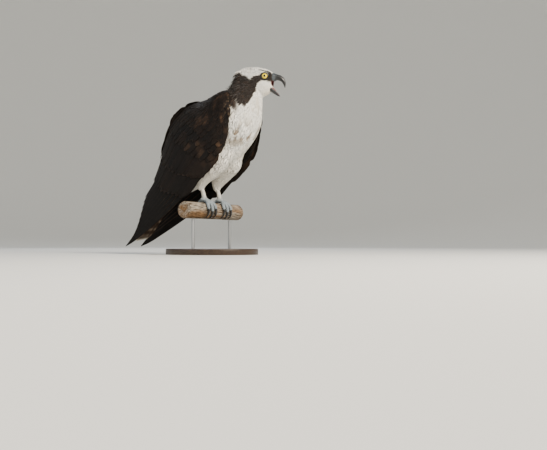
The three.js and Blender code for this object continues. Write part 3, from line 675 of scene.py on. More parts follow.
FEATHER = plumage("breast_and_head_plumage", roughness=0.85, sheen=0.10, barb_mm=0.7, contrast=0.04,
                  specular=0.3)
DARK_FEATHER = plumage("wing_plumage", roughness=0.7, sheen=0.0, barb_mm=0.7, contrast=0.2, specular=0.17)
SKIN_SURFACE = plumage("down_under_the_coat", roughness=0.9, sheen=0.05, barb_mm=0.8, contrast=0.05,
                       specular=0.3)
BILL_HORN = horn("bill_horn", roughness=0.34, coat=0.25)
CLAW_HORN = horn("claw_horn", roughness=0.28, coat=0.35)
CERE_SKIN = bare_skin("cere_skin", scale_mm=1.6, roughness=0.5, depth_mm=0.12, wet=0.1)
MOUTH_SKIN = bare_skin("moist_mouth_skin", scale_mm=1.2, roughness=0.4, depth_mm=0.1, wet=0.5)
LID_SKIN = bare_skin("lid_skin", scale_mm=0.8, roughness=0.5, depth_mm=0.08, wet=0.1)
FOOT_SKIN = bare_skin("scaled_foot_skin", scale_mm=1.9, roughness=0.6, depth_mm=0.4)
WET_EYE = wet_cornea()
BRANCH_WOOD = weathered_wood()
BASE_WOOD = stained_board()
ROD_STEEL = brushed_steel()
PAPER = backdrop_paper()


# Markings: the same for the skin and for the coat over it

# The dark band through the eye and down the neck: x and z of its upper and its lower edge, on the head.
MASK_TOP = np.array([
    [-70, 8], [-48, 11], [-34, 12], [-24, 11], [-14, 7], [-5.3, 0.3], [1, 5], [8.4, 9.4], [18, 9], [30, 13],
    [36, 13], [44, 12],
], float)
MASK_FOOT = np.array([
    [-80, -18], [-66, -20], [-54, -29], [-41, -44], [-29, -57], [-15, -65], [-3, -50], [4, -29], [9.6, -14],
    [17, -4], [27, -2], [36, -4], [44, -6],
], float)
# The back's edge: x and z of a line down each side of the neck and under each wing.
BACK_LINE = np.array([
    [-140, 60], [-100, 96], [-40, 168], [10, 214], [60, 236], [80, 246], [110, 262],
], float)
# Where each mark of the head fades in, in millimetres or in the patches' own values.
HEAD_BAND = {
    "mask_top": (-1.2, 1.2), "mask_foot": (-1.5, 1.5), "mask_ragged": (5, 30), "mask_side": (4, 8),
    "mask_brown": (-0.3, 0.8), "crown_streak": (0.05, 0.6), "crown_height": (16, 30),
    "crown_ahead": (-42, -8), "nape_back": (24, 37), "nape_streak": (0, 0.6), "chin_ahead": (14, 32),
    "chin_down": (18, 30), "lore_ahead": (28, 36), "lore_height": (-9, -3), "face_side": (5, 9),
    "brow_shade_ahead": (8, 18),
}
# The brow shares darken the brow's dark feathers and paint the shadow under the brow ridge.
HEAD_SHARE = {"warmth": 0.5, "chin": 0.6, "crown": 0.5, "lore": 0.9, "brow": 1.3, "brow_shade_most": 0.92,
              "mask_brown": 0.8}
MASK_FRINGE = {"edge": 2.2, "fringe": 1.2}
# Dark brow feathers and painted shadow under the brow ridge, in a line over the eye: height, slope, start and
# spread.
BROW_FEATHER_AND_SHADE_LINE = {"height": 20.5, "slope": 0.30, "from": 22, "spread": 1.7}
NAPE_STREAK = {"level": 0.85, "from": 10, "fall": 0.04}
# The same for the body.
BODY_BAND = {
    "back_edge": (-5, 5), "back_brown": (-0.2, 0.8), "breast_shade_ahead": (40, 80), "breast_shade_streak": (0.0, 0.5),
    "flank_shade_ahead": (80, 30), "flank_shade_streak": (-0.45, 0.4), "leg_shade_side": (4, 12), "leg_shade_down": (-112, -84),
    "leg_shade_ahead": (-40, -20), "near_head": (-86, -74),
}
BODY_SHARE = {"warmth": 0.55, "breast_shade": 0.95, "flank_shade": 0.75, "leg": 0.5}
# Bands of painted shade over the breast and the flank: their height and spread.
BREAST_PAINTED_SHADE = {"height": 156, "spread": 25}
FLANK_PAINTED_SHADE = {"height": 98, "spread": 22}
COAT_FRINGE = {"edge": 5, "fringe": 3}
HEAD_REACH = (0.55, 0.83)


def head_marks(p):
    """Colours of the head's plumage at points of the head's frame."""
    x, side, z = p[..., 0], np.abs(p[..., 1]), p[..., 2]
    drawn = p * DRAWN_OUT["head"]
    band, share = HEAD_BAND, HEAD_SHARE
    edge = patchy(p, "mask_edge") * MASK_FRINGE["edge"] + patchy(p, "mask_fringe") * MASK_FRINGE["fringe"]
    top = np.interp(x, MASK_TOP[:, 0], MASK_TOP[:, 1])
    foot = np.interp(x, MASK_FOOT[:, 0], MASK_FOOT[:, 1])
    ragged = edge * (1 + smooth(-x, *band["mask_ragged"]))
    dark = smooth(top - z + edge, *band["mask_top"]) * smooth(z - foot + ragged, *band["mask_foot"])
    dark = dark * smooth(side, *band["mask_side"])
    crown = smooth(patchy(drawn, "crown"), *band["crown_streak"]) * smooth(z, *band["crown_height"])
    crown = crown * smooth(-x, *band["crown_ahead"]) * share["crown"]
    streak = patchy(drawn, "nape") + NAPE_STREAK["level"] - (z - NAPE_STREAK["from"]) * NAPE_STREAK["fall"]
    nape = smooth(-x, *band["nape_back"]) * smooth(streak, *band["nape_streak"])
    chin = smooth(x, *band["chin_ahead"]) * smooth(-z, *band["chin_down"])
    lore = smooth(x, *band["lore_ahead"]) * smooth(z, *band["lore_height"]) * smooth(side, *band["face_side"])
    # Painted shadow under the brow ridge, over the brow's own dark feathers.
    brow_shade_height = BROW_FEATHER_AND_SHADE_LINE["height"] - BROW_FEATHER_AND_SHADE_LINE["slope"] * (x - BROW_FEATHER_AND_SHADE_LINE["from"])
    brow = bell(z, brow_shade_height, BROW_FEATHER_AND_SHADE_LINE["spread"]) * smooth(x, *band["brow_shade_ahead"])
    brow = brow * smooth(side, *band["face_side"])
    colour = blend(PLUME["white"], PLUME["cream"], smooth(patchy(p, "head_warmth")) * share["warmth"])
    colour = blend(colour, PLUME["cream"], chin * share["chin"])
    colour = blend(colour, PLUME["grey"], crown)
    colour = blend(colour, PLUME["lore"], lore * share["lore"])
    colour = blend(colour, PLUME["lore"], np.clip(brow * share["brow"], 0, share["brow_shade_most"]))
    brown = smooth(patchy(p, "mask"), *band["mask_brown"]) * share["mask_brown"]
    colour = blend(colour, blend(PLUME["mask"], PLUME["neck"], brown), dark)
    return blend(colour, PLUME["neck"], nape * (1 - dark))


def plumage_marks(p):
    """Colours of the coat at points of the bird's frame."""
    h = to_head(p)
    x, side, z = p[..., 0], np.abs(p[..., 1]), p[..., 2]
    drawn = p * DRAWN_OUT["body"]
    band, share = BODY_BAND, BODY_SHARE
    edge = patchy(p, "coat_edge") * COAT_FRINGE["edge"] + patchy(p, "coat_fringe") * COAT_FRINGE["fringe"]
    back_line = np.interp(x, BACK_LINE[:, 0], BACK_LINE[:, 1])
    dark = smooth(z - back_line + edge, *band["back_edge"])
    # Painted shade: faint brownish streaks across the upper breast, and grey streaks down the flank.
    breast_shade = bell(z, BREAST_PAINTED_SHADE["height"], BREAST_PAINTED_SHADE["spread"]) * smooth(x, *band["breast_shade_ahead"])
    breast_shade = breast_shade * smooth(patchy(drawn, "breast_shade"), *band["breast_shade_streak"])
    # Painted shade: grey streaks in the shadowed grooves down the flank.
    flank_shade = bell(z, FLANK_PAINTED_SHADE["height"], FLANK_PAINTED_SHADE["spread"]) * smooth(x, *band["flank_shade_ahead"])
    flank_shade = flank_shade * smooth(patchy(drawn, "flank_shade"), *band["flank_shade_streak"])
    # Painted shade: the lower thighs a greyer cream than the white breast.
    leg = smooth(side, *band["leg_shade_side"]) * smooth(-z, *band["leg_shade_down"]) * smooth(x, *band["leg_shade_ahead"])
    colour = blend(PLUME["white"], PLUME["cream"], smooth(patchy(p, "coat_warmth")) * share["warmth"])
    colour = blend(colour, PLUME["streak"], np.clip(breast_shade * share["breast_shade"], 0, 1))
    colour = blend(colour, PLUME["grey"], flank_shade * share["flank_shade"])
    colour = blend(colour, PLUME["leg"], leg * share["leg"])
    back = blend(PLUME["mantle"], PLUME["neck"], smooth(patchy(p, "mantle"), *band["back_brown"]))
    colour = blend(colour, back, dark)
    near_head = smooth(h[..., 0] * HEAD_REACH[0] + h[..., 2] * HEAD_REACH[1], *band["near_head"])
    return blend(colour, head_marks(h), near_head)


# The coat's lie: places, and the way the plumage runs there, on the bird's left. The right mirrors it.
HEAD_LIE = np.array([
    [42, 8, 12, -0.55, 0.35, 0.75], [36, 14, 20, -0.85, 0.2, 0.45], [10, 8, 33, -1, 0, 0.12],
    [-20, 8, 33, -1, 0, -0.15], [-42, 6, 16, -0.8, 0, -0.75], [34, 18, 2, -0.9, 0.35, -0.1],
    [20, 24, -12, -0.92, 0.1, -0.4], [0, 27, 0, -0.97, 0.05, -0.25], [-22, 26, 0, -0.85, 0, -0.55],
    [34, 8, -30, -0.75, 0.15, -0.65], [10, 10, -38, -0.75, 0.1, -0.65], [-12, 20, -30, -0.6, 0, -0.8],
], float)
BODY_LIE = np.array([
    [70, 20, 280, -0.72, 0.2, -0.68], [40, 30, 250, -0.8, 0.2, -0.6], [-12, 20, 225, -0.86, 0.05, -0.52],
    [-60, 20, 190, -0.75, 0, -0.66], [-110, 15, 110, -0.45, 0, -0.9], [-125, 10, 60, -0.55, 0, -0.83],
    [136, 8, 235, -0.1, 0.05, -1], [110, 35, 230, -0.3, 0.1, -0.95], [128, 20, 180, -0.2, 0.08, -0.98],
    [105, 20, 140, -0.55, 0.05, -0.83], [80, 50, 170, -0.45, 0.1, -0.88], [60, 30, 100, -0.78, 0, -0.62],
    [20, 30, 70, -0.85, 0, -0.52], [-30, 20, 42, -0.9, 0, -0.42], [-90, 12, 20, -0.85, -0.05, -0.52],
    [20, 58, 140, -0.7, 0, -0.7], [-50, 50, 110, -0.78, -0.05, -0.62],
    [44, 40, 128, -0.45, 0, -0.88], [20, 52, 90, -0.4, -0.05, -0.9], [0, 44, 60, -0.25, -0.05, -0.95],
    [-8, 40, 38, 0, -0.05, -1], [-16, 30, 70, -0.35, 0, -0.92],
], float)
FLIP = np.array([1, -1, 1])
LIE_BLUR = 60


def coat_lie():
    """Every place of the coat's lie and its way, both sides, in the bird's frame."""
    places, ways = [], []
    for side in (1, -1):
        places.append(to_bird(mirror(HEAD_LIE[:, :3], side)))
        ways.append(to_bird(mirror(HEAD_LIE[:, 3:], side)) - HEAD_PLACE)
    places += [BODY_LIE[:, :3], BODY_LIE[:, :3] * FLIP]
    ways += [BODY_LIE[:, 3:], BODY_LIE[:, 3:] * FLIP]
    return np.concatenate(places), np.concatenate(ways)


LIE_PLACES, LIE_WAYS = coat_lie()


def flow_at(p, normals):
    """The way the coat runs at points of the bird's frame, along the surface."""
    total = np.zeros_like(p)
    for place, way in zip(LIE_PLACES, LIE_WAYS):
        d2 = np.sum((p - place) ** 2, -1, keepdims=True)
        total += way / (d2 + LIE_BLUR) ** 2
    flat = total - normals * np.sum(total * normals, -1, keepdims=True)
    return unit(flat)


# The skin

def surface_grid(surface, rings, sides, depth):
    """Rings of points over the trunk's or the head's surface."""
    u = np.linspace(0, 1, rings)
    return surface(u[:, None] * np.ones(sides), circle(sides, 0.5) * np.ones((rings, 1)), depth)


def make_skin():
    """Body, neck, head and thighs as one closed skin, sunk under the coat, with the mouth open."""
    thigh = THIGH_ROWS.copy()
    thigh[0, 3:] *= THIGH_ROOT_SHARE
    parts = [surface_grid(body_point, 61, 56, SKIN_DEPTH["body"]),
             to_bird(surface_grid(head_point, 49, 56, SKIN_DEPTH["head"]))]
    for side in (1, -1):
        parts.append(mirror(limb_grid(thigh, 40, 36, SKIN_DEPTH["thigh"]), side))
        parts.append(to_bird(mirror(limb_grid(BROW_ROWS, 16, 12, SKIN_DEPTH["brow"]), side)))
    parts.append(limb_grid(RUMP_ROWS, 24, 30, SKIN_DEPTH["rump"]))
    skin = make_piece("skin", *join_lofts(parts), SKIN_SURFACE)
    apply_modifiers(skin, ("REMESH", {"mode": "VOXEL", "voxel_size": SKIN_MESH["voxel"] * MM}))
    mouth = to_bird(limb_grid(MOUTH_ROWS, 20, 24, SKIN_DEPTH["mouth"]))
    cutter = make_piece("mouth_cut", *join_lofts([mouth]), SKIN_SURFACE)
    apply_modifiers(skin, ("BOOLEAN", {"operation": "DIFFERENCE", "object": cutter, "solver": "FAST"}))
    bpy.data.objects.remove(cutter)
    apply_modifiers(skin, ("SMOOTH", {"factor": SKIN_MESH["smoothing"], "iterations": SKIN_MESH["passes"]}))
    round_off(skin)
    return skin


def map_skin(skin):
    """Unwraps the skin. The feathers' own small patches lie where they root on this map."""
    bpy.context.view_layer.objects.active = skin
    skin.select_set(True)
    bpy.ops.object.mode_set(mode="EDIT")
    bpy.ops.mesh.select_all(action="SELECT")
    bpy.ops.uv.smart_project(angle_limit=SKIN_MAP["fold"], island_margin=SKIN_MAP["margin"])
    bpy.ops.object.mode_set(mode="OBJECT")
    skin.data.uv_layers[0].name = "OFBake"
    skin.select_set(False)


def in_mouth(h):
    """One inside the open mouth and none outside, at points of the head's frame."""
    z, wide, tall = (np.interp(h[..., 0], MOUTH_ROWS[:, 0], MOUTH_ROWS[:, i]) for i in (2, 3, 4))
    d = np.sqrt((h[..., 1] / wide) ** 2 + ((h[..., 2] - z) / tall) ** 2)
    return smooth(1.35 - d, 0.0, 0.25) * smooth(h[..., 0], 21, 24)


def skin_marks(p):
    return blend(plumage_marks(p), PLUME["gape"], in_mouth(to_head(p)))


# Numbers that make one whole number of a cell's place, and how many roots are tried for each that is kept.
CELL_STEPS = (4000037, 2003)
ROOTS_TRIED = 5
CELL_SHARE = 1.08


class Ground:
    """The skin's triangles, for rooting feathers and finding the nearest place."""

    def __init__(self, piece):
        mesh = piece.data
        mesh.calc_loop_triangles()
        count = len(mesh.loop_triangles)
        corners, loops = np.zeros(count * 3, np.int32), np.zeros(count * 3, np.int32)
        mesh.loop_triangles.foreach_get("vertices", corners)
        mesh.loop_triangles.foreach_get("loops", loops)
        self.points = points_of(piece)
        self.corners = corners.reshape(-1, 3)
        uv = np.zeros(len(mesh.loops) * 2, np.float32)
        mesh.uv_layers.get("OFBake").data.foreach_get("uv", uv)
        self.uv = uv.reshape(-1, 2)[loops.reshape(-1, 3)]
        a, b, c = (self.points[self.corners[:, i]] for i in range(3))
        cross = np.cross(b - a, c - a)
        self.area = np.linalg.norm(cross, axis=1) / 2
        normals = np.zeros_like(self.points)
        for i in range(3):
            np.add.at(normals, self.corners[:, i], cross)
        self.normals = unit(normals)
        self.tree = BVHTree.FromPolygons(self.points.tolist(), self.corners.tolist())

    def scatter(self, spacing, keep):
        """Roots about spacing apart over the triangles that keep chooses: places, normals and map places."""
        area = self.area * keep(self.points[self.corners].mean(1))
        count = int(area.sum() / spacing ** 2 * ROOTS_TRIED)
        chosen = RANDOM.choice(len(area), count, p=area / area.sum())
        r1, r2 = np.sqrt(RANDOM.random(count)), RANDOM.random(count)
        weights = np.stack([1 - r1, r1 * (1 - r2), r1 * r2], 1)[..., None]
        places = (self.points[self.corners[chosen]] * weights).sum(1)
        cell = np.floor(places / (spacing * CELL_SHARE)).astype(np.int64)
        _, first = np.unique(cell[:, 0] * CELL_STEPS[0] + cell[:, 1] * CELL_STEPS[1] + cell[:, 2],
                             return_index=True)
        first = RANDOM.permutation(first)
        normals = unit((self.normals[self.corners[chosen]] * weights).sum(1))
        uv = (self.uv[chosen] * weights).sum(1)
        return places[first], normals[first], uv[first]

    def nearest(self, points):
        places, normals = np.empty_like(points), np.empty_like(points)
        for i, p in enumerate(points):
            place, _, index, _ = self.tree.find_nearest(Vector(p))
            places[i] = place
            normals[i] = self.normals[self.corners[index]].mean(0)
        return places, unit(normals)


# The coat

# Along each kind of small feather: places from root to tip, and its width there.
VANE_SHAPES = {
    "round": ([0, 0.3, 0.62, 0.86, 1.0], [0.35, 0.85, 1.0, 0.72, 0.16]),
    "short": ([0, 0.35, 0.75, 1.0], [0.35, 0.95, 0.8, 0.14]),
    "lance": ([0, 0.25, 0.6, 1.0], [0.4, 1.0, 0.75, 0.04]),
}
# A small feather's roof as a share of its width, its shaft's least height, how much widths and edges vary.
VANE = {"roof": 0.06, "shaft": 0.10, "width_varies": 0.10, "ragged": 0.22, "fade": 1.5, "shaft_shows": 0.75}
# A feather's own patch on the map, and the most triangles of one piece of the coat.
PATCH = 0.003
MOST_TRIANGLES = 190000


def patch_spots(across, down):
    """Places inside a feather's patch of the map for every point of it."""
    return np.stack([np.tile(across, len(down)), np.repeat(down, len(across))], 1) * PATCH


def vane_faces(rows):
    """A small feather's triangles, and which of them lie on its roof."""
    upper, under = [], []
    for i in range(rows - 1):
        a, b = i * 3, (i + 1) * 3
        upper += [[a, a + 1, b + 1], [a, b + 1, b], [a + 1, a + 2, b + 2], [a + 1, b + 2, b + 1]]
        under += [[a, b, b + 2], [a, b + 2, a + 2]]
    last = (rows - 1) * 3
    under += [[0, 2, 1], [last, last + 1, last + 2]]
    return np.array(upper + under), np.arange(len(upper) + len(under)) < len(upper)


def make_vanes(name, material, root, tip, root_normal, tip_normal, arch, half_width, colour, uv, shape, turn):
    """Joined feathers: each a thin closed vane with a raised shaft, bent from its root to its tip."""
    v, profile = (np.array(x) for x in VANE_SHAPES[shape])
    rows, count = len(v), len(root)
    middle = (root + tip) / 2 + unit(root_normal + tip_normal) * arch[:, None]
    w = v[None, :, None]
    line = (1 - w) ** 2 * root[:, None] + 2 * w * (1 - w) * middle[:, None] + w ** 2 * tip[:, None]
    ahead = unit(2 * (1 - w) * (middle - root)[:, None] + 2 * w * (tip - middle)[:, None])
    up = unit(root_normal[:, None] * (1 - w) + tip_normal[:, None] * w)
    across = unit(np.cross(up, ahead))
    across = unit(across + up * turn[:, None, None])
    up = np.cross(ahead, across)
    varied = 1 + RANDOM.normal(0, VANE["width_varies"], (count, rows))
    wide = (half_width[:, None] * profile[None, :] * varied)[..., None]
    shaft = line + up * (VANE["roof"] * wide + VANE["shaft"])
    ragged = ahead * (RANDOM.normal(0, VANE["ragged"], (count, rows, 1)) * half_width[:, None, None])
    left = line - across * wide - up * (VANE["roof"] * wide) + ragged
    right = line + across * wide - up * (VANE["roof"] * wide) - ragged
    points = np.stack([left, shaft, right], 2).reshape(count, -1, 3)
    tris, rounded = vane_faces(rows)
    root_colour, tip_colour, shaft_colour = colour
    fade = np.broadcast_to(v, (count, rows)) ** VANE["fade"]
    shade = blend(root_colour[:, None], tip_colour[:, None], fade)
    shaft_shade = blend(shade, np.broadcast_to(shaft_colour[:, None], shade.shape),
                        VANE["shaft_shows"] * np.ones((count, rows)))
    colours = np.stack([shade, shaft_shade, shade], 2).reshape(count, -1, 3)
    uvs = uv[:, None] + patch_spots([-0.5, 0, 0.5], v - 0.5)[None]
    piece_count = max(1, math.ceil(count * len(tris) / MOST_TRIANGLES))
    pieces = []
    order = np.argsort(root[:, 0], kind="stable")
    for k, part in enumerate(np.array_split(order, piece_count)):
        faces = (np.arange(len(part))[:, None, None] * rows * 3 + tris[None]).reshape(-1, 3)
        title = name if piece_count == 1 else f"{name}_{k + 1}"
        pieces.append(make_piece(title, points[part].reshape(-1, 3), faces, material,
                                 colours[part].reshape(-1, 3), uvs[part].reshape(-1, 2),
                                 np.tile(rounded, len(part))))
    return pieces


def at_places(value, places):
    return value(places) if callable(value) else value


# How a coat feather grows: its sway, its varying length and rise, how deep it roots and how it arches.
GROWTH = {"sway": 0.09, "varies": 0.1, "least": 0.7, "most": 1.3, "rise": (0.85, 1.1), "root": 0.6,
          "arch": (0.1, 14), "turn": 0.10}
# A feather whose tip would land too far off, or on ground that faces away, bends down from its root.
STRAY = {"far": 0.6, "facing": 0.1, "out": 0.55, "down": 0.12}
# A feather's colours: where along it the markings are read, and how root, edge and shaft differ.
VANE_TONE = {"read_at": 0.72, "pale": (0.1, 0.6), "varies": 0.09, "pale_varies": 0.07, "root": 0.86,
             "edge": 1.05, "edge_lift": 0.003, "edge_most": 0.93, "shaft": (0.7, 0.95), "pale_shaft": 0.97}


def grow(name, material, ground, keep, spacing, length, half_width, rise, shape):
    """Feathers rooted over part of the skin, each lying back along the flow onto the next ones."""
    root, normal, uv = ground.scatter(spacing, keep)
    count = len(root)
    flow = flow_at(root, normal)
    flow = unit(flow + np.cross(normal, flow) * RANDOM.normal(0, GROWTH["sway"], (count, 1)))
    vary = RANDOM.normal(1, GROWTH["varies"], count).clip(GROWTH["least"], GROWTH["most"])
    long = at_places(length, root) * vary
    high = at_places(rise, root) * RANDOM.uniform(*GROWTH["rise"], count)
    aim = root + flow * long[:, None]
    ground_tip, tip_normal = ground.nearest(aim)
    stray = np.linalg.norm(aim - ground_tip, axis=1) > long * STRAY["far"]
    stray = (stray | ((tip_normal * normal).sum(1) < STRAY["facing"]))[:, None]
    tip_normal = np.where(stray, normal, tip_normal)
    bent = root + flow * (long * STRAY["out"])[:, None] - normal * (long * STRAY["down"])[:, None]
    tip = np.where(stray, bent, ground_tip) + tip_normal * high[:, None]
    start = root - normal * GROWTH["root"]
    middle = (start + tip) / 2
    over = ground.nearest(middle)[0] - middle
    sag = np.einsum("ij,ij->i", over, unit(normal + tip_normal))
    arch = (2 * (sag + high * 0.5)).clip(*GROWTH["arch"])
    tone = VANE_TONE
    mark = plumage_marks(root + flow * (long * tone["read_at"])[:, None])
    pale = smooth(mark.mean(1), *tone["pale"])[:, None]
    base = mark * (1 + RANDOM.normal(0, 1, (count, 1)) * (tone["varies"] - tone["pale_varies"] * pale))
    edge = np.minimum(base * tone["edge"] + tone["edge_lift"], tone["edge_most"])
    line = base * (RANDOM.uniform(*tone["shaft"], (count, 1)) * (1 - pale) + tone["pale_shaft"] * pale)
    return make_vanes(name, material, start, tip, normal, tip_normal, arch, half_width * vary,
                      (base * tone["root"], edge, line), uv, shape, RANDOM.normal(0, GROWTH["turn"], count))


# Where the head ends, along a slanting line behind the cheeks: its slopes, and how far the nape's plumes and
# the neck's feathers reach past it.
HEAD_END = {"x": 0.62, "z": 0.55, "at": 26, "nape": 14, "neck": 34}
FACE_END = 14
BARE_BILL = (43.5, 41.5)
BARE_EYE = {"ahead": 2, "out": 23.0, "radius": (9.3, 9.6)}


def head_depth(p):
    """Below zero on the head, above on the neck and body."""
    h = to_head(p)
    return -(h[..., 0] * HEAD_END["x"] + h[..., 2] * HEAD_END["z"]) - HEAD_END["at"]


def bare(p):
    """One where feathers may root: not in the mouth, under the bill's base or round the eyes."""
    h = to_head(p)
    free = (1 - in_mouth(h)) * smooth(h[..., 0], *BARE_BILL)
    for side in (1, -1):
        eye = np.array([EYE["x"] + BARE_EYE["ahead"], BARE_EYE["out"] * side, EYE["z"]])
        free *= smooth(np.linalg.norm(h - eye, axis=-1), *BARE_EYE["radius"])
    return (free > 0.5).astype(float)


def on_face(p):
    return (head_depth(p) < 0) * bare(p) * (to_head(p)[:, 0] > FACE_END)


def on_crown(p):
    return (head_depth(p) < 0) * bare(p) * (to_head(p)[:, 0] <= FACE_END)


def on_nape(p):
    """The shaggy back of the head."""
    h = to_head(p)
    return (h[:, 0] < -26) * (h[:, 2] > -34) * (h[:, 2] < 27) * (head_depth(p) < HEAD_END["nape"])


def on_neck(p):
    d = head_depth(p)
    return ((d >= 0) & (d < HEAD_END["neck"])) * bare(p)


def on_leg(p):
    return ((np.abs(p[:, 1]) > 8) & (p[:, 2] < 84) & (p[:, 0] > -26) & (p[:, 2] > 26)
            & (p[:, 2] - 1.1 * p[:, 0] < 78)).astype(float)


def on_body(p):
    return (head_depth(p) >= HEAD_END["neck"]) * (1 - on_leg(p)) * (p[:, 2] > -14)


def longer_back(least, slope, ahead):
    """Lengths that grow toward the back of the head from a place ahead."""
    return lambda p: least + slope * (ahead - to_head(p)[:, 0]).clip(0, 60)


def longer_up(p):
    """Lengths that grow up the leg."""
    return 8.5 + 0.12 * (p[:, 2] - 20).clip(0, 80)


def shaggy(p):
    """Plumes raised by uneven amounts, less toward the throat."""
    return 2.5 + 8.5 * RANDOM.random(len(p)) ** 1.6 * smooth(to_head(p)[:, 2], -26, -6)


# The coat from the bill back: where it roots, its spacing, length, half-width, rise of the tips, and shape.
COAT = (
    ("face_feathers", on_face, 1.2, longer_back(4.2, 0.12, 40), 0.85, 0.45, "short"),
    ("crown_and_cheek_feathers", on_crown, 1.65, longer_back(8.5, 0.14, 14), 1.25, 0.85, "lance"),
    ("nape_plumes", on_nape, 2.9, 21, 1.6, shaggy, "lance"),
    ("neck_feathers", on_neck, 2.5, 17, 2.4, 1.0, "lance"),
    ("body_feathers", on_body, 3.3, 24, 3.9, 1.4, "round"),
    ("leg_feathers", on_leg, 2.4, longer_up, 1.9, 1.1, "short"),
)


def dress_skin(ground):
    coat = []
    for name, keep, *sizes in COAT:
        coat += grow(name, FEATHER, ground, keep, *sizes)
    for piece in coat:
        fit(piece, "plumage_white")


# Wings and tail

# A large feather's cupping across, and the height of its shaft over the vane.
QUILL = {"cup": 0.05, "cup_power": 1.35, "ridge": 0.45}
# Along each kind of large feather: places from root to tip, and its width there.
OUTLINES = {
    "small": ([0, 0.3, 0.7, 0.9, 1], [0.5, 0.95, 0.95, 0.55, 0.1]),
    "covert": ([0, 0.2, 0.75, 0.93, 1], [0.55, 0.95, 0.95, 0.55, 0.1]),
    "quill": ([0, 0.15, 0.85, 0.96, 1], [0.5, 0.9, 0.9, 0.5, 0.08]),
    "primary": ([0, 0.1, 0.7, 0.9, 0.97, 1], [0.6, 1.0, 0.95, 0.72, 0.42, 0.06]),
    "tail": ([0, 0.1, 0.5, 0.9, 0.97, 1], [0.4, 0.7, 0.95, 1.0, 0.72, 0.1]),
}


def blade_faces(rows, size, columns):
    """A large feather's triangles, its two ends closed, and which of them lie on top."""
    quads = grid_faces(rows, size, closed=True)
    on_top = np.tile(np.arange(size) < columns - 1, rows - 1)
    caps = []
    for base, flip in ((0, False), ((rows - 1) * size, True)):
        for k in range(columns - 1):
            a, b = base + k, base + k + 1
            low_a = base + (size - k) % size if k else base
            low_b = b if k == columns - 2 else base + (size - k - 1)
            for tri in ([a, low_a, b], [low_a, low_b, b]):
                if len(set(tri)) == 3:
                    caps.append(tri[::-1] if flip else tri)
    tris = np.concatenate([quads[:, [0, 1, 2]], quads[:, [0, 2, 3]], np.array(caps)])
    return tris, np.concatenate([on_top, on_top, np.zeros(len(caps), bool)])


def quill_vanes(name, material, paths, widths, ups, colours, uv, tilt, thick, columns):
    """Large feathers, each a thin closed blade with a raised shaft, along paths and as wide as the widths."""
    count, rows = paths.shape[:2]
    ahead = unit(np.gradient(paths, axis=1))
    across = unit(np.cross(ups, ahead))
    across = unit(across + ups * tilt[:, None, None])
    up = np.cross(ahead, across)[:, :, None]
    c = np.linspace(-1, 1, columns)
    reach = np.where(c[None, None] < 0, c * widths[..., :1], c * widths[..., 1:])
    cup = -QUILL["cup"] * np.abs(reach) ** QUILL["cup_power"]
    ridge = np.where(np.abs(c) < 1e-6, QUILL["ridge"], 0.0)
    flat = paths[:, :, None] + across[:, :, None] * reach[..., None]
    top = flat + up * (cup + ridge + thick / 2)[..., None]
    under = flat + up * (cup - thick / 2)[..., None]
    inner = slice(1, columns - 1)
    ring = np.concatenate([top, under[:, :, inner][:, :, ::-1]], 2)
    size = ring.shape[2]
    points = ring.reshape(count, -1, 3)
    tris, rounded = blade_faces(rows, size, columns)
    shade = np.concatenate([colours, colours[:, :, inner][:, :, ::-1]], 2).reshape(-1, 3)
    uvs = uv[:, None] + patch_spots(np.linspace(-0.5, 0.5, size), np.linspace(-0.5, 0.5, rows))[None]
    faces = (np.arange(count)[:, None, None] * points.shape[1] + tris[None]).reshape(-1, 3)
    return make_piece(name, points.reshape(-1, 3), faces, material, shade, uvs.reshape(-1, 2),
                      np.tile(rounded, count))


# The tiers of a wing from the shoulder down: start and end along the wing, count across it, rise at the tip,
# overlap of neighbours, tilt of each vane over the next, and the kind of feather.
TIER_PARTS = ("start", "end", "across", "rise", "lap", "tilt", "kind")
LARGE_TIERS = (
    (0.25, 0.355, 15, 2.0, 0.85, 0.07, "covert"), (0.285, 0.4, 14, 2.1, 0.85, 0.07, "covert"),
    (0.32, 0.45, 13, 2.2, 0.85, 0.07, "covert"), (0.37, 0.52, 13, 2.4, 0.85, 0.07, "covert"),
    (0.43, 0.655, 14, 2.8, 1.15, 0.10, "quill"), (0.52, 0.76, 12, 3.0, 1.15, 0.10, "quill"),
)


def wing_tiers():
    """Small coverts in tiers that lengthen down the wing, then the larger tiers."""
    tiers = []
    s = 0.012
    while s < 0.27:
        span = 0.046 + 0.13 * s
        tiers.append((s, s + span, int(24 - 26 * s), 1.5, 0.72, 0.03, "small"))
        s += span * 0.34
    return [dict(zip(TIER_PARTS, tier)) for tier in (*tiers, *LARGE_TIERS)]


COLUMNS = {"small": 5, "covert": 7, "quill": 7}
TIER_ROWS = 15


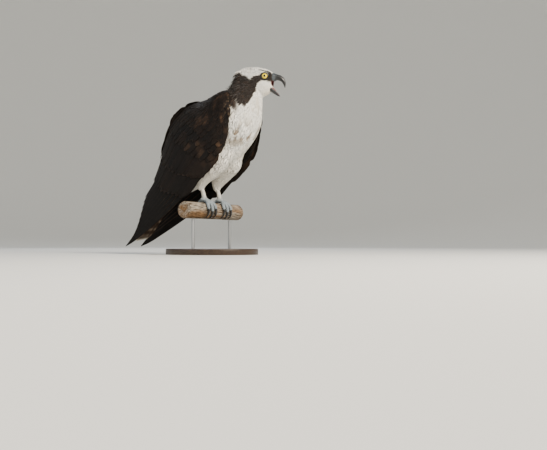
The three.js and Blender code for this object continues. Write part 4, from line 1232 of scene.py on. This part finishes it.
def tier_feathers(side, number, tier):
    """One tier's feathers: paths, widths, ups, colours, map places and tilts."""
    count, quill, columns = tier["across"], tier["kind"] == "quill", COLUMNS[tier["kind"]]
    v = np.linspace(0, 1, TIER_ROWS)
    k = (np.arange(count + 1) + 0.5 * (number % 2) - 0.25) / count
    k = k[(k > -0.02) & (k < 1.02)]
    feathers = len(k)
    t = np.clip(0.02 + 0.96 * k + RANDOM.normal(0, 0.005, feathers), 0.0, 1.0)
    jitter = RANDOM.normal(0, 0.004 if quill else 0.006, feathers)
    s0 = np.clip(tier["start"] + jitter, 0.0, 1)
    s1 = tier["end"] + jitter - 0.05 * (t - 0.55) ** 2 * quill
    s = s0[:, None] + (s1 - s0)[:, None] * v
    drift = RANDOM.normal(0, 0.004, feathers)[:, None] * v
    tt = np.clip(t[:, None] + drift, 0, 1)
    lift = -2.2 + (tier["rise"] + 1.2) * v ** 0.8 + RANDOM.normal(0, 0.15, feathers)[:, None]
    path = wing_point(s, tt, lift)
    up = unit(wing_point(s, tt, lift + 1) - path)
    half = wing_breadth(s, tt) * tier["lap"] * 0.96 / count
    wide = half * np.interp(v, *OUTLINES[tier["kind"]]) * (1 + RANDOM.normal(0, 0.03, half.shape))
    colours = tier_colours(path, s, tt, v, np.linspace(-1, 1, columns), quill)
    return (mirror(path, -side), np.stack([wide, wide], -1), mirror(up, -side), colours,
            wing_map(side, s0, t), np.full(feathers, tier["tilt"] * -side))


def tier_colours(path, s, tt, v, c, quill):
    """Near black, with worn brown patches, paler rims and buff tips at the shoulder."""
    feathers, rows = path.shape[:2]
    base = blend(PLUME["flight"], PLUME["mantle"], RANDOM.random(feathers))[:, None]
    worn = smooth(patchy(path * DRAWN_OUT["wing"], "worn_covert"), 0.0, 0.6) * RANDOM.random((feathers, 1))
    worn = worn * smooth(tt, 0.3, 0.6) * smooth(s, 0.62, 0.3)
    dark = blend(np.broadcast_to(base, path.shape), PLUME["worn"], worn * 0.75)
    rim = np.abs(c)[None, None] ** 4 * 0.6 + smooth(v, 0.88, 1.0)[None, :, None] * 0.8
    rim = smooth(rim, 0.5, 1.1) * RANDOM.random((feathers, 1, 1)) * (0.35 if quill else 0.75)
    colours = blend(np.broadcast_to(dark[:, :, None], (feathers, rows, len(c), 3)), PLUME["edge"], rim)
    shoulder = smooth(tt, 0.78, 0.97) * smooth(s, 0.26, 0.05) * smooth(v, 0.55, 0.95)
    shoulder = shoulder * (RANDOM.random((feathers, 1)) < 0.45)
    return blend(colours, PLUME["buff"], np.broadcast_to(shoulder[..., None] * 0.45, colours.shape[:3]))


def dress_wing(side):
    """All the feathers of one wing: coverts, secondaries, primaries, and the dark bases under them."""
    name = side_name(side)
    groups = {"coverts": [], "secondaries": []}
    for number, tier in enumerate(wing_tiers()):
        label = "coverts" if tier["kind"] == "small" else "secondaries"
        groups[label].append(tier_feathers(side, number, tier))
    for label, columns in (("coverts", 5), ("secondaries", 7)):
        joined = [np.concatenate(part) for part in zip(*groups[label])]
        fit(quill_vanes(f"{label}_{name}", DARK_FEATHER, *joined, 0.45, columns), "plumage_dark")
    fit(wing_primaries(side, name), "plumage_dark")
    fit(wing_core(side, name), "plumage_dark", f"wing_{name}")


def wing_primaries(side, name):
    """The long flight feathers that cross over the tail."""
    count, rows, columns = 10, 22, 9
    v = np.linspace(0, 1, rows)
    share = np.arange(count) / (count - 1)
    t = 0.1 + 0.84 * share
    s0, s1 = 0.56 + 0.02 * share, 0.84 + 0.155 * share
    s = s0[:, None] + (s1 - s0)[:, None] * v
    tt = np.broadcast_to(t[:, None], s.shape)
    lift = -1.5 - 0.7 * share[:, None] + 1.2 * v[None]
    path = wing_point(s, tt, lift)
    up = unit(wing_point(s, tt, lift + 1) - path)
    outline = np.interp(v, *OUTLINES["primary"])
    outer = (12.5 - 3.5 * share)[:, None] * outline
    inner = (14.5 - 2.0 * share)[:, None] * outline
    room = np.maximum(3.0, wing_breadth(s, tt) * 0.24)
    widths = np.stack([np.minimum(inner, room), np.minimum(outer, room)], -1)[..., ::-side]
    c = np.linspace(-1, 1, columns)
    base = blend(PLUME["flight"], PLUME["mantle"], np.broadcast_to(smooth(0.5 - v), (count, rows)))
    rim = smooth(np.abs(c) ** 6, 0.3, 1.0)[None, None] * 0.45 * np.ones((count, rows, 1))
    colours = blend(np.broadcast_to(base[:, :, None], (count, rows, columns, 3)), PLUME["edge"], rim)
    return quill_vanes(f"primaries_{name}", DARK_FEATHER, mirror(path, -side), widths, mirror(up, -side),
                       colours, wing_map(side, s0, t), np.full(count, -0.06 * side), 0.5, columns)


def wing_core(side, name):
    """The folded arm and the feathers' bases under the tiers, one thin dark shell."""
    ss, tt = np.meshgrid(np.linspace(0.0, 0.72, 40), np.linspace(0.0, 1.0, 24), indexing="ij")
    top = wing_point(ss, tt, np.full(ss.shape, -2.6))
    depth = -2.6 - 6.0 * np.sin(np.pi * np.clip(tt, 0.04, 0.96)) ** 0.5 * (1 - 0.75 * ss)
    under = wing_point(ss, tt, depth)
    points, faces = closed_loft(np.concatenate([top, under[:, ::-1]], 1))
    points = mirror(points, -side)
    colours = blend(all_over(PLUME["flight"], points), PLUME["mantle"], smooth(patchy(points, "wing_base")))
    spot = wing_map(side, ss, tt)
    spot = np.concatenate([spot, spot[:, ::-1]], 1)
    spot = np.concatenate([spot[:1], spot, spot[-1:]]).reshape(-1, 2)
    return make_piece(f"wing_bases_{name}", points, faces, DARK_FEATHER, colours, spot)


def tail_frame(v, lateral, lift):
    """Places over the tail's line, and the way up from them."""
    line = along(TAIL_LINE, v)
    ahead = unit(along(TAIL_LINE, np.minimum(1, v + STEP)) - along(TAIL_LINE, np.maximum(0, v - STEP)))
    up = unit(np.cross(ahead, np.broadcast_to([0.0, 1.0, 0.0], ahead.shape)))
    up = np.where(up[..., 2:3] < 0, -up, up)
    return line + np.array([0, 1, 0]) * lateral[..., None] + up * lift[..., None], up


def dress_tail():
    """Twelve tail feathers, the middle pair on top, barred brown with a pale tip."""
    rows, columns = 26, 9
    v = np.linspace(0, 1, rows)
    place = np.array([-5.5, 5.5, -4.5, 4.5, -3.5, 3.5, -2.5, 2.5, -1.5, 1.5, -0.5, 0.5])
    count, out = len(place), np.abs(place)
    vv = v[None] * (1 - 0.012 * (out - 0.5))[:, None]
    lateral = place[:, None] * (1.5 + 2.4 * v[None])
    lift = np.broadcast_to(2.6 - 1.05 * out[:, None], vv.shape)
    path, up = tail_frame(vv, lateral, lift)
    wide = 9.3 * np.interp(v, *OUTLINES["tail"])[None] * np.ones((count, 1))
    c = np.linspace(-1, 1, columns)
    bars = smooth(np.sin(v * FULL_TURN * 6.5 + 0.6), 0.1, 0.7) * (v > 0.12) * (v < 0.93)
    pale = bars[None, :, None] * smooth(np.abs(c), 0.1, 0.5)[None, None] * (0.35 + 0.09 * out)[:, None, None]
    tip = smooth(v, 0.955, 0.985)[None, :, None] * np.ones((count, 1, columns))
    base = np.broadcast_to(PLUME["neck"], (count, rows, columns, 3))
    colours = blend(blend(base, PLUME["bar"], pale), PLUME["cream"], tip * 0.75)
    uv = np.stack([0.5 + place / 24, np.full(count, 0.5)], 1)
    piece = quill_vanes("tail_feathers", DARK_FEATHER, path, np.stack([wide, wide], -1), up, colours, uv,
                        np.sign(place) * 0.04, 0.55, columns)
    fit(piece, "plumage_tail", "tail")


# Head parts

def smooth_tube(name, grids, material, colour, mend=None):
    """A rounded piece of closed lofts, joined into one where a size to mend it at is given."""
    piece = make_piece(name, *join_lofts(grids), material)
    if mend:
        apply_modifiers(piece, ("REMESH", {"mode": "VOXEL", "voxel_size": mend * MM}),
                        ("SMOOTH", {"factor": 0.5, "iterations": 4}))
    else:
        apply_modifiers(piece, ("SUBSURF", {"levels": 1, "render_levels": 1}))
    round_off(piece)
    paint(piece, colour(points_of(piece)))
    return piece


def upper_section(c, s, u):
    """Round over the ridge, drawn in to cutting edges and hollow below."""
    low = np.where(s < 0, -s, 0)
    tip = smooth(u, 0.6, 0.95)
    wide = signed_power(c, np.where(s < 0, 0.6 + 0.4 * tip, 1)) * (1 - 0.08 * low * (1 - tip))
    edge = -1.12 * low ** 0.6 + 0.62 * (1 - np.abs(c)) ** 1.2 * low
    return wide, np.where(s < 0, edge * (1 - tip) + s * tip, s)


def lower_section(c, s, u):
    """A trough: rounded below, hollow above between its cutting edges."""
    high = np.where(s > 0, s, 0)
    tip = smooth(u, 0.7, 1.0)
    wide = signed_power(c, np.where(s > 0, 0.6 + 0.4 * tip, 1))
    edge = 1.25 * high ** 0.6 - 1.0 * (1 - np.abs(c)) * high
    return wide, np.where(s > 0, edge * (1 - tip) + s * tip, s * 1.12)


def bill_colour(p):
    h = to_head(p)
    pale = smooth(h[..., 0], 60, 47) * 0.6
    return blend(all_over(HORN["upper"], h), HORN["upper_base"], pale * (0.7 + 0.3 * patchy(h, "bill")))


# The lower bill's cutting edge falls by this much for each millimetre ahead of a place near its hinge.
LOWER_SLOPE = 0.78
LOWER_HINGE = 35


def lower_bill_colour(p):
    h = to_head(p)
    level = h[..., 2] + LOWER_SLOPE * (h[..., 0] - LOWER_HINGE)
    edge = smooth(level, -17.0, -13.5) * smooth(h[..., 0], 50, 36)
    inner = smooth(8 - np.abs(h[..., 1]), 2.5, 4.5) * smooth(level, -18.5, -16.5)
    colour = blend(all_over(HORN["lower"], h), HORN["cutting_edge"], edge * 0.8)
    return blend(colour, PLUME["gape"], inner * 0.8)


def cere_colour(p):
    h = to_head(p)
    worn = blend(all_over(BARE["cere"], h), BARE["cere_worn"], smooth(patchy(h, "cere"), -0.2, 0.8) * 0.6)
    return blend(worn, BARE["cere_worn"], smooth(h[..., 0], 46, 51) * 0.8)


def tongue_colour(p):
    h = to_head(p)
    return blend(all_over(BARE["tongue"], h), BARE["tongue_furrow"], smooth(patchy(h, "tongue")) * 0.6)


def nostril_colour(p):
    return all_over(BARE["nostril"], p)


# How far along the upper bill the cere reaches, and how far it swells over the horn, from face to bill.
CERE_END = 0.52 * 0.74
CERE_SWELL = np.array([0.3, 0.35, 0.4, 0.35, 0.15, -0.25])


def make_bill():
    """Both halves of the bill, the cere over the upper one's root, the tongue and the nostrils."""
    cere_rows = np.array([along(UPPER_BILL_ROWS, k) for k in np.linspace(0, CERE_END, len(CERE_SWELL))])
    cere_rows[:, 3:] += CERE_SWELL[:, None]
    for name, rows, rings, sides, section, material, colour, slot, node in (
        ("upper_bill_horn", UPPER_BILL_ROWS, 48, 40, upper_section, BILL_HORN, bill_colour, "bill",
         "upper_bill"),
        ("lower_bill_horn", LOWER_BILL_ROWS, 36, 36, lower_section, BILL_HORN, lower_bill_colour, "bill",
         "lower_bill"),
        ("cere_skin", cere_rows, 20, 40, upper_section, CERE_SKIN, cere_colour, "cere", "cere"),
        ("tongue_flesh", TONGUE_ROWS, 24, 20, None, MOUTH_SKIN, tongue_colour, "tongue", "tongue"),
    ):
        grid = to_bird(limb_grid(rows, rings, sides, section=section))
        fit(smooth_tube(name, [grid], material, colour), slot, node)
    for side in (1, -1):
        grid = to_bird(mirror(limb_grid(NOSTRIL_ROWS, 12, 14), side))
        fit(smooth_tube(f"nostril_{side_name(side)}", [grid], MOUTH_SKIN, nostril_colour), "cere")


def eye_axes(side):
    """An eye's middle, the way it looks, and level and upright across that."""
    ahead, out = math.sin(EYE["ahead"]), math.cos(EYE["ahead"])
    axis = np.array([ahead, out * side, EYE["raised"]])
    axis = axis / np.linalg.norm(axis)
    level = unit(np.cross([0, 0, 1.0], axis))
    return np.array([EYE["x"], EYE["y"] * side, EYE["z"]]), axis, level, np.cross(axis, level)


def iris_colour(distance, angle):
    """Yellow, deeper at its rim, with fine streaks out from a black pupil."""
    streak = 0.5 + 0.5 * np.sin(angle * 37 + 3 * np.sin(angle * 11)) * np.sin(angle * 23 + 1)
    deep = streak * 0.3 + 0.4 * smooth(distance, *IRIS["outer"]) + 0.2 * smooth(distance, *IRIS["inner"])
    iris = blend(np.broadcast_to(EYE_COLOUR["iris"], (len(distance), 3)), EYE_COLOUR["iris_deep"], deep)
    colour = blend(iris, EYE_COLOUR["black"], 1 - smooth(distance, *IRIS["pupil"]))
    return blend(colour, EYE_COLOUR["black"], smooth(distance, *IRIS["rim"]))


def make_eye(side):
    """A ball with a clear bulge over the iris, coloured by the distance from its axis."""
    centre, axis, level, upright = eye_axes(side)
    rings, around = 72, 96
    polar, turn = np.linspace(0.004, np.pi - 0.004, rings), round_angles(around)
    bulge = CORNEA["bulge"] * smooth(np.cos(polar), CORNEA["from"], CORNEA["to"])
    radius = EYE["radius"] + bulge - CORNEA["sunk"]
    off = (np.sin(polar) * radius)[:, None]
    deep = (np.cos(polar) * radius)[:, None]
    across = level * (off * np.cos(turn))[..., None] + upright * (off * np.sin(turn))[..., None]
    ball = centre + axis * deep[..., None] * np.ones((1, around, 1)) + across
    colour = iris_colour((off * np.ones((1, around))).ravel(), np.tile(turn, rings))
    front = np.repeat(np.cos(polar) > 0, around)
    eye = make_piece(f"eyeball_{side_name(side)}", to_bird(ball.reshape(-1, 3)),
                     grid_faces(rings, around, closed=True), WET_EYE,
                     np.where(front[:, None], colour, EYE_COLOUR["black"]))
    fit(eye, "eye", f"eye_{side_name(side)}")


# How far the lids close: over the eye, more toward its front, and from below.
LID_CLOSE = {"top": 0.17, "front": 0.07, "top_curve": 1.4, "foot": 0.03, "foot_curve": 2}
# The eye's two corners are drawn out: how far, and over what angle.
LID_CORNERS = ((0.9, 0.28), (0.6, 0.26))
CORNER_REACH = (6.2, 7.5)
# Rings of a lid: how far each reaches past the opening, and its height along the eye's axis.
LID_RINGS = {"tucked": (-0.15, 7.2), "rim": (-0.1, 8.3), "fold": (0.5, 8.6), "crest": (1.6, 8.0),
             "hidden": (0.6, 3.0)}
# Rings that lie on the face: how far each reaches past the lid, and its height over the skin.
LID_SKIRT = {"outer": (1.2, 0.7), "edge": (2.6, -0.6)}
SKIRT_SEAT = 7.0
LID_SLOPE = {"crest": 0.45, "outer": 0.55, "raised": 0.5, "sunk": 2.0}


def make_lids(side, ground):
    """A ring of bare dark skin round the eye, flattened under the brow, its skirt following the face."""
    centre, axis, level, upright = eye_axes(side)
    turn = round_angles(80)
    sin, front = np.sin(turn), -side * np.cos(turn)
    closing = (LID_CLOSE["top"] + LID_CLOSE["front"] * front) * np.clip(sin, 0, 1) ** LID_CLOSE["top_curve"]
    squeeze = 1 - closing - LID_CLOSE["foot"] * np.clip(-sin, 0, 1) ** LID_CLOSE["foot_curve"]
    (first, first_spread), (second, second_spread) = LID_CORNERS
    corner = first * bell((turn + np.pi) % FULL_TURN - np.pi, 0, first_spread)
    corner = corner + second * bell(turn, np.pi, second_spread)

    def ring(reach, height):
        r = reach + corner * smooth(reach, *CORNER_REACH)
        flat = centre + level * (r * np.cos(turn))[:, None] + upright * (r * sin * squeeze)[:, None]
        return flat + axis * height

    def over_face(reach, above):
        """A ring that lies on the face, a little above its skin."""
        place, normal = ground.nearest(to_bird(ring(LID["outer"] + reach, SKIRT_SEAT)))
        return to_head(place + normal * above)

    tucked, rim, fold, crest, hidden = (
        ring(LID["inner"] + reach, height) for reach, height in LID_RINGS.values())
    outer, skirt = (over_face(*sizes) for sizes in LID_SKIRT.values())
    slope = crest * LID_SLOPE["crest"] + outer * LID_SLOPE["outer"] + axis * LID_SLOPE["raised"]
    rings = [tucked, rim, fold, crest, slope, outer, skirt, skirt - axis * LID_SLOPE["sunk"], hidden]
    points = to_bird(np.stack(rings, 1).reshape(-1, 3))
    faces = grid_faces(len(turn) + 1, len(rings), closed=True) % len(points)
    lids = make_piece(f"lids_{side_name(side)}", points, faces, LID_SKIN)
    apply_modifiers(lids, ("SUBSURF", {"levels": 2, "render_levels": 2}))
    p = points_of(lids)
    paint(lids, blend(all_over(BARE["lid"], p), BARE["lid_fold"], smooth(patchy(p, "lid"))))
    fit(lids, "eye")


# Feet

def round_perch(degrees, over, y):
    """Places round the perch, from its top ahead and down, at a height over its bark."""
    angle = np.radians(degrees)
    r = PERCH_RADIUS + over
    return np.stack([np.sin(angle) * r, y * np.ones_like(r), np.cos(angle) * r - PERCH_RADIUS], -1)


# A toe's pads: how far they swell, how many half turns of swelling, where they begin.
TOE_PADS = {"swell": 0.55, "turns": 4.2, "shift": 0.3, "from": (0.08, 0.3)}
TOE_TIP = {"from": (0.93, 1.03), "least": 0.05, "slim": 0.25}


def toe_grid(end, splay):
    k = np.linspace(0, 1, 44)
    swell = TOE_PADS["swell"] * np.sin(k * np.pi * TOE_PADS["turns"] + TOE_PADS["shift"]) ** 2
    pads = swell * smooth(k, *TOE_PADS["from"])
    radius = TOE_RADIUS[0] + (TOE_RADIUS[1] - TOE_RADIUS[0]) * k
    centre = round_perch(end * k, GAP + radius, LEG_SPREAD + splay * smooth(k * 1.2))
    ahead = unit(np.gradient(centre, axis=0))
    perch_line = np.stack([np.zeros_like(k), centre[:, 1], np.full_like(k, -PERCH_RADIUS)], -1)
    across = unit(np.cross(ahead, unit(centre - perch_line)))
    out = np.cross(across, ahead)
    turn = circle(20, 0.5)
    tip = np.sqrt(np.clip(1 - smooth(k, *TOE_TIP["from"]) ** 2, TOE_TIP["least"], 1))[:, None]
    wide, tall = (radius + pads - TOE_TIP["slim"])[:, None] * tip, radius[:, None] * tip
    return (centre[:, None] + across[:, None] * (wide * np.cos(turn))[..., None]
            + out[:, None] * (tall * np.sin(turn))[..., None])


def talon_grid(end, splay):
    k = np.linspace(0, 1, 40)
    way = math.copysign(1, end)
    radius = TALON["base"] + (TALON["tip"] - TALON["base"]) * k ** TALON["taper"]
    over = GAP + radius + TALON["lift"] * np.sin(np.pi * k) + TALON["clear"]
    centre = round_perch(end - way * TALON["rooted"] + way * TALON["sweep"] * k, over,
                         LEG_SPREAD + splay * (1 + TALON["splay"] * k))
    ahead = unit(np.gradient(centre, axis=0))
    across = unit(np.cross(ahead, np.array([0.0, 1, 0])))
    side = np.cross(across, ahead)
    turn = circle(20, 0.5)[:, None]
    section = across[:, None] * np.cos(turn) + side[:, None] * np.sin(turn) * TALON["flat"]
    return centre[:, None] + section * radius[:, None, None]


def foot_colour(p):
    base = blend(all_over(BARE["shank"], p), BARE["toe"], smooth(p[..., 2], 22, 4))
    return base * (0.92 + 0.14 * patchy(p, "toe")[..., None])


def claw_colour(p):
    return all_over(HORN["claw"], p)


def make_leg(side):
    name = side_name(side)
    grids = [limb_grid(TARSUS_ROWS, 30, 28), limb_grid(SOLE_ROWS, 16, 24)]
    grids += [toe_grid(end, splay) for end, splay in TOES.values()]
    grids = [mirror(grid, side) for grid in grids]
    foot = smooth_tube(f"scaled_foot_{name}", grids, FOOT_SKIN, foot_colour, mend=0.9)
    fit(foot, "scaled_skin", f"foot_{name}", f"tarsus_{name}")
    for toe, (end, splay) in TOES.items():
        grid = mirror(talon_grid(end, splay), side)
        claw = smooth_tube(f"claw_{toe}_{name}", [grid], CLAW_HORN, claw_colour)
        fit(claw, "claw", f"talon_{toe}_{name}")


# The stand

# Knots of the branch: place along it, angle round it, size.
KNOTS = ((-74, 0.9, 7.0), (6, 5.3, 5.0), (68, 4.4, 6.5))
# The bark-free wood's relief below the solid's face: its least, its swell, its splits and its grain.
RELIEF = {"least": 0.15, "swell": 0.7, "splits": 1.3, "grain": 0.35, "kept": 0.05}
CUT_END = {"from": 1.5, "worn": 1.2, "rough": 0.3, "rings": (0.85, 0.6, 0.35, 0.12, 0.01)}


def wood_places(yy, aa, drawn):
    """Places in the branch with its length drawn in, so that marks run along the grain."""
    return np.stack([np.cos(aa) * 20, yy * drawn, np.sin(aa) * 20], -1)


def make_perch():
    """A weathered round of branch, its bark gone, with long splits and a few worn knots."""
    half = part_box("stand_perch")[1].y / MM
    yy, aa = np.meshgrid(np.linspace(-half, half, 220), circle(120), indexing="ij")
    grain = wood_places(yy, aa, 0.12)
    split = np.abs(patchy(grain, "split")) + 0.35 * np.abs(patchy(grain, "fine_split"))
    cracks = smooth(0.20 - split, 0.0, 0.2)
    wave = 0.5 + 0.5 * patchy(wood_places(yy, aa, 0.4), "branch_swell")
    r = PERCH_RADIUS - RELIEF["least"] - RELIEF["swell"] * wave - RELIEF["splits"] * cracks
    r = r - RELIEF["grain"] * (0.5 + 0.5 * patchy(grain, "branch_grain"))
    for at, angle, size in KNOTS:
        bend = np.abs((aa - angle + np.pi) % FULL_TURN - np.pi) * PERCH_RADIUS
        d = np.sqrt(((yy - at) / 1.4) ** 2 + bend ** 2) / size
        r = r - 1.5 * np.exp(-(d * 1.6) ** 2) + 0.5 * bell(d, 1, 0.25) * (r < PERCH_RADIUS - 0.8)
    r = np.minimum(r, PERCH_RADIUS - RELIEF["kept"])
    r = r - CUT_END["worn"] * (1 - smooth(np.abs(yy), half, half - CUT_END["from"]))
    body = np.stack([np.cos(aa) * r, yy, np.sin(aa) * r - PERCH_RADIUS], -1)
    ends = []
    for row, sign in ((body[:1], -1), (body[-1:], 1)):
        centre = np.array([0, sign * half, -PERCH_RADIUS])
        caps = []
        for share in CUT_END["rings"]:
            cap = centre + (row - centre) * share
            cap[..., 1] = sign * (half - CUT_END["rough"] * abs(math.sin(share * 40)))
            caps.append(cap)
        ends.append(caps)
    grid = np.concatenate(ends[0][::-1] + [body] + ends[1])
    rows, columns = grid.shape[:2]
    perch = make_piece("perch", grid.reshape(-1, 3), grid_faces(rows, columns, closed=True), BRANCH_WOOD)
    fit(perch, "weathered_wood", "stand_perch")


def level_ring(turn, middle, rx, ry, height):
    """A level oval of points round a middle."""
    return np.stack([middle[0] + np.cos(turn) * rx, middle[1] + np.sin(turn) * ry, height + 0 * turn], -1)


def turned_piece(name, rings, material):
    grid = np.stack(rings)
    faces = grid_faces(*grid.shape[:2], closed=True)
    return make_piece(name, grid.reshape(-1, 3), faces, material)


BEVEL = 2.4


def make_base():
    """An oval board with a softened upper edge."""
    low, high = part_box("stand_base")
    centre, half = (low + high) / 2 / MM, (high - low) / 2 / MM
    turn = circle(160)
    rings = []
    for inset, level in (
        (half.x - 1, -half.z), (40, -half.z), (0.8, -half.z), (0, -half.z + 0.8), (0, half.z - BEVEL),
        (BEVEL * 0.12, half.z - BEVEL * 0.5), (BEVEL * 0.3, half.z - BEVEL * 0.3),
        (BEVEL * 0.5, half.z - BEVEL * 0.12), (BEVEL, half.z), (40, half.z), (half.x - 1, half.z),
    ):
        rx, ry = half.x - inset, half.y - min(inset, half.y - 1)
        rings.append(level_ring(turn, centre, rx, ry, centre.z + level - FOOT_LEVEL))
    board = turned_piece("base_board", rings, BASE_WOOD)
    apply_modifiers(board, ("EDGE_SPLIT", {"split_angle": math.radians(50)}))
    fit(board, "base_board", "stand_base")


def make_rods():
    for name in ("left", "right"):
        low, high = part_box(f"stand_rod_{name}")
        centre = (low + high) / 2 / MM
        radius = (high.x - low.x) / 2 / MM
        rings = [level_ring(circle(48), centre, r, r, level / MM - FOOT_LEVEL)
                 for r, level in ((radius * 0.02, low.z), (radius, low.z), (radius, high.z),
                                  (radius * 0.02, high.z))]
        rod = turned_piece(f"rod_{name}", rings, ROD_STEEL)
        apply_modifiers(rod, ("EDGE_SPLIT", {"split_angle": math.radians(40)}))
        fit(rod, "steel_rod", f"stand_rod_{name}")


# The studio

# The backdrop: radius of its level floor, of its bend up and of its wall, and the wall's height.
SWEEP = {"floor": 2600, "bend": 2200, "wall": 4800, "height": 5200, "below": 0.05}
MIDDLE = (0.02, 0, 0.28)
# Each lamp: place, size in metres, watts and colour.
LAMPS = {
    "key": ((2.1, -0.8, 1.7), (1.0, 1.0), 150, "#fff4e4"),
    "fill": ((-1.5, -2.1, 1.2), (1.8, 1.4), 15, "#e6efff"),
    "rim": ((-1.4, 1.6, 1.6), (0.9, 1.2), 22, "#f2f6ff"),
}
# The even light of the room: its colour and strength.
ROOM_LIGHT = ("#dfe6ee", 0.55)
# The camera: turned from the bird's side, its distance, its height, and where it looks from the perch's top.
CAMERA = {"turn": math.radians(30), "away": 2.05, "height": 0.03, "across": 0.148, "up": -0.053,
          "sensor": 36, "shows": 1.313, "clip": (0.05, 50)}


def point_at(thing, place, aim):
    thing.location = place
    thing.rotation_mode = "QUATERNION"
    thing.rotation_quaternion = (Vector(aim) - Vector(place)).to_track_quat("-Z", "Y")


def make_studio():
    """A pale round floor that sweeps up into a plain wall, a broad key light, a fill and a rim light."""
    profile = [(0.5, 0), (1200, 0), (SWEEP["floor"], 0)]
    for k in np.linspace(0, math.pi / 2, 25)[1:]:
        profile.append((SWEEP["floor"] + SWEEP["bend"] * math.sin(k),
                        SWEEP["bend"] - SWEEP["bend"] * math.cos(k)))
    profile.append((SWEEP["wall"], SWEEP["height"]))
    rings = [level_ring(round_angles(96), (0, 0), r, r, height - FOOT_LEVEL - SWEEP["below"])
             for r, height in profile]
    turned_piece("studio_sweep", rings, PAPER)
    for name, (place, size, watts, hex_text) in LAMPS.items():
        data = bpy.data.lights.new(name, "AREA")
        data.shape = "RECTANGLE"
        data.size, data.size_y = size
        data.energy = watts
        data.color = linear(hex_text)
        lamp = bpy.data.objects.new(name, data)
        bpy.context.scene.collection.objects.link(lamp)
        point_at(lamp, place, MIDDLE)
    world = bpy.data.worlds.new("studio")
    world.use_nodes = True
    background = world.node_tree.nodes["Background"].inputs
    background["Color"].default_value = rgba(ROOM_LIGHT[0])
    background["Strength"].default_value = ROOM_LIGHT[1]
    bpy.context.scene.world = world


def set_camera():
    """Low in front of the bird's right side, looking a little up at it."""
    turn = CAMERA["turn"]
    toward = Vector((-math.sin(turn), math.cos(turn), 0))
    across = Vector((math.cos(turn), math.sin(turn), 0))
    aim = Vector((0, 0, FOOT_LEVEL * MM)) + across * CAMERA["across"] + Vector((0, 0, CAMERA["up"]))
    place = aim - toward * CAMERA["away"]
    place.z = CAMERA["height"]
    data = bpy.data.cameras.new("camera")
    camera = bpy.data.objects.new("camera", data)
    bpy.context.scene.collection.objects.link(camera)
    point_at(camera, place, aim)
    data.sensor_width = CAMERA["sensor"]
    data.lens = CAMERA["sensor"] * CAMERA["away"] / CAMERA["shows"]
    data.clip_start, data.clip_end = CAMERA["clip"]
    bpy.context.scene.camera = camera


make_studio()
set_camera()

skin = make_skin()
map_skin(skin)
paint(skin, skin_marks(points_of(skin)))
fit(skin, "plumage_white", "torso", "neck", "head", "thigh_left", "thigh_right")
ground = Ground(skin)
dress_skin(ground)
for side in (1, -1):
    dress_wing(side)
    make_eye(side)
    make_lids(side, ground)
    make_leg(side)
dress_tail()
make_bill()
make_perch()
make_base()
make_rods()
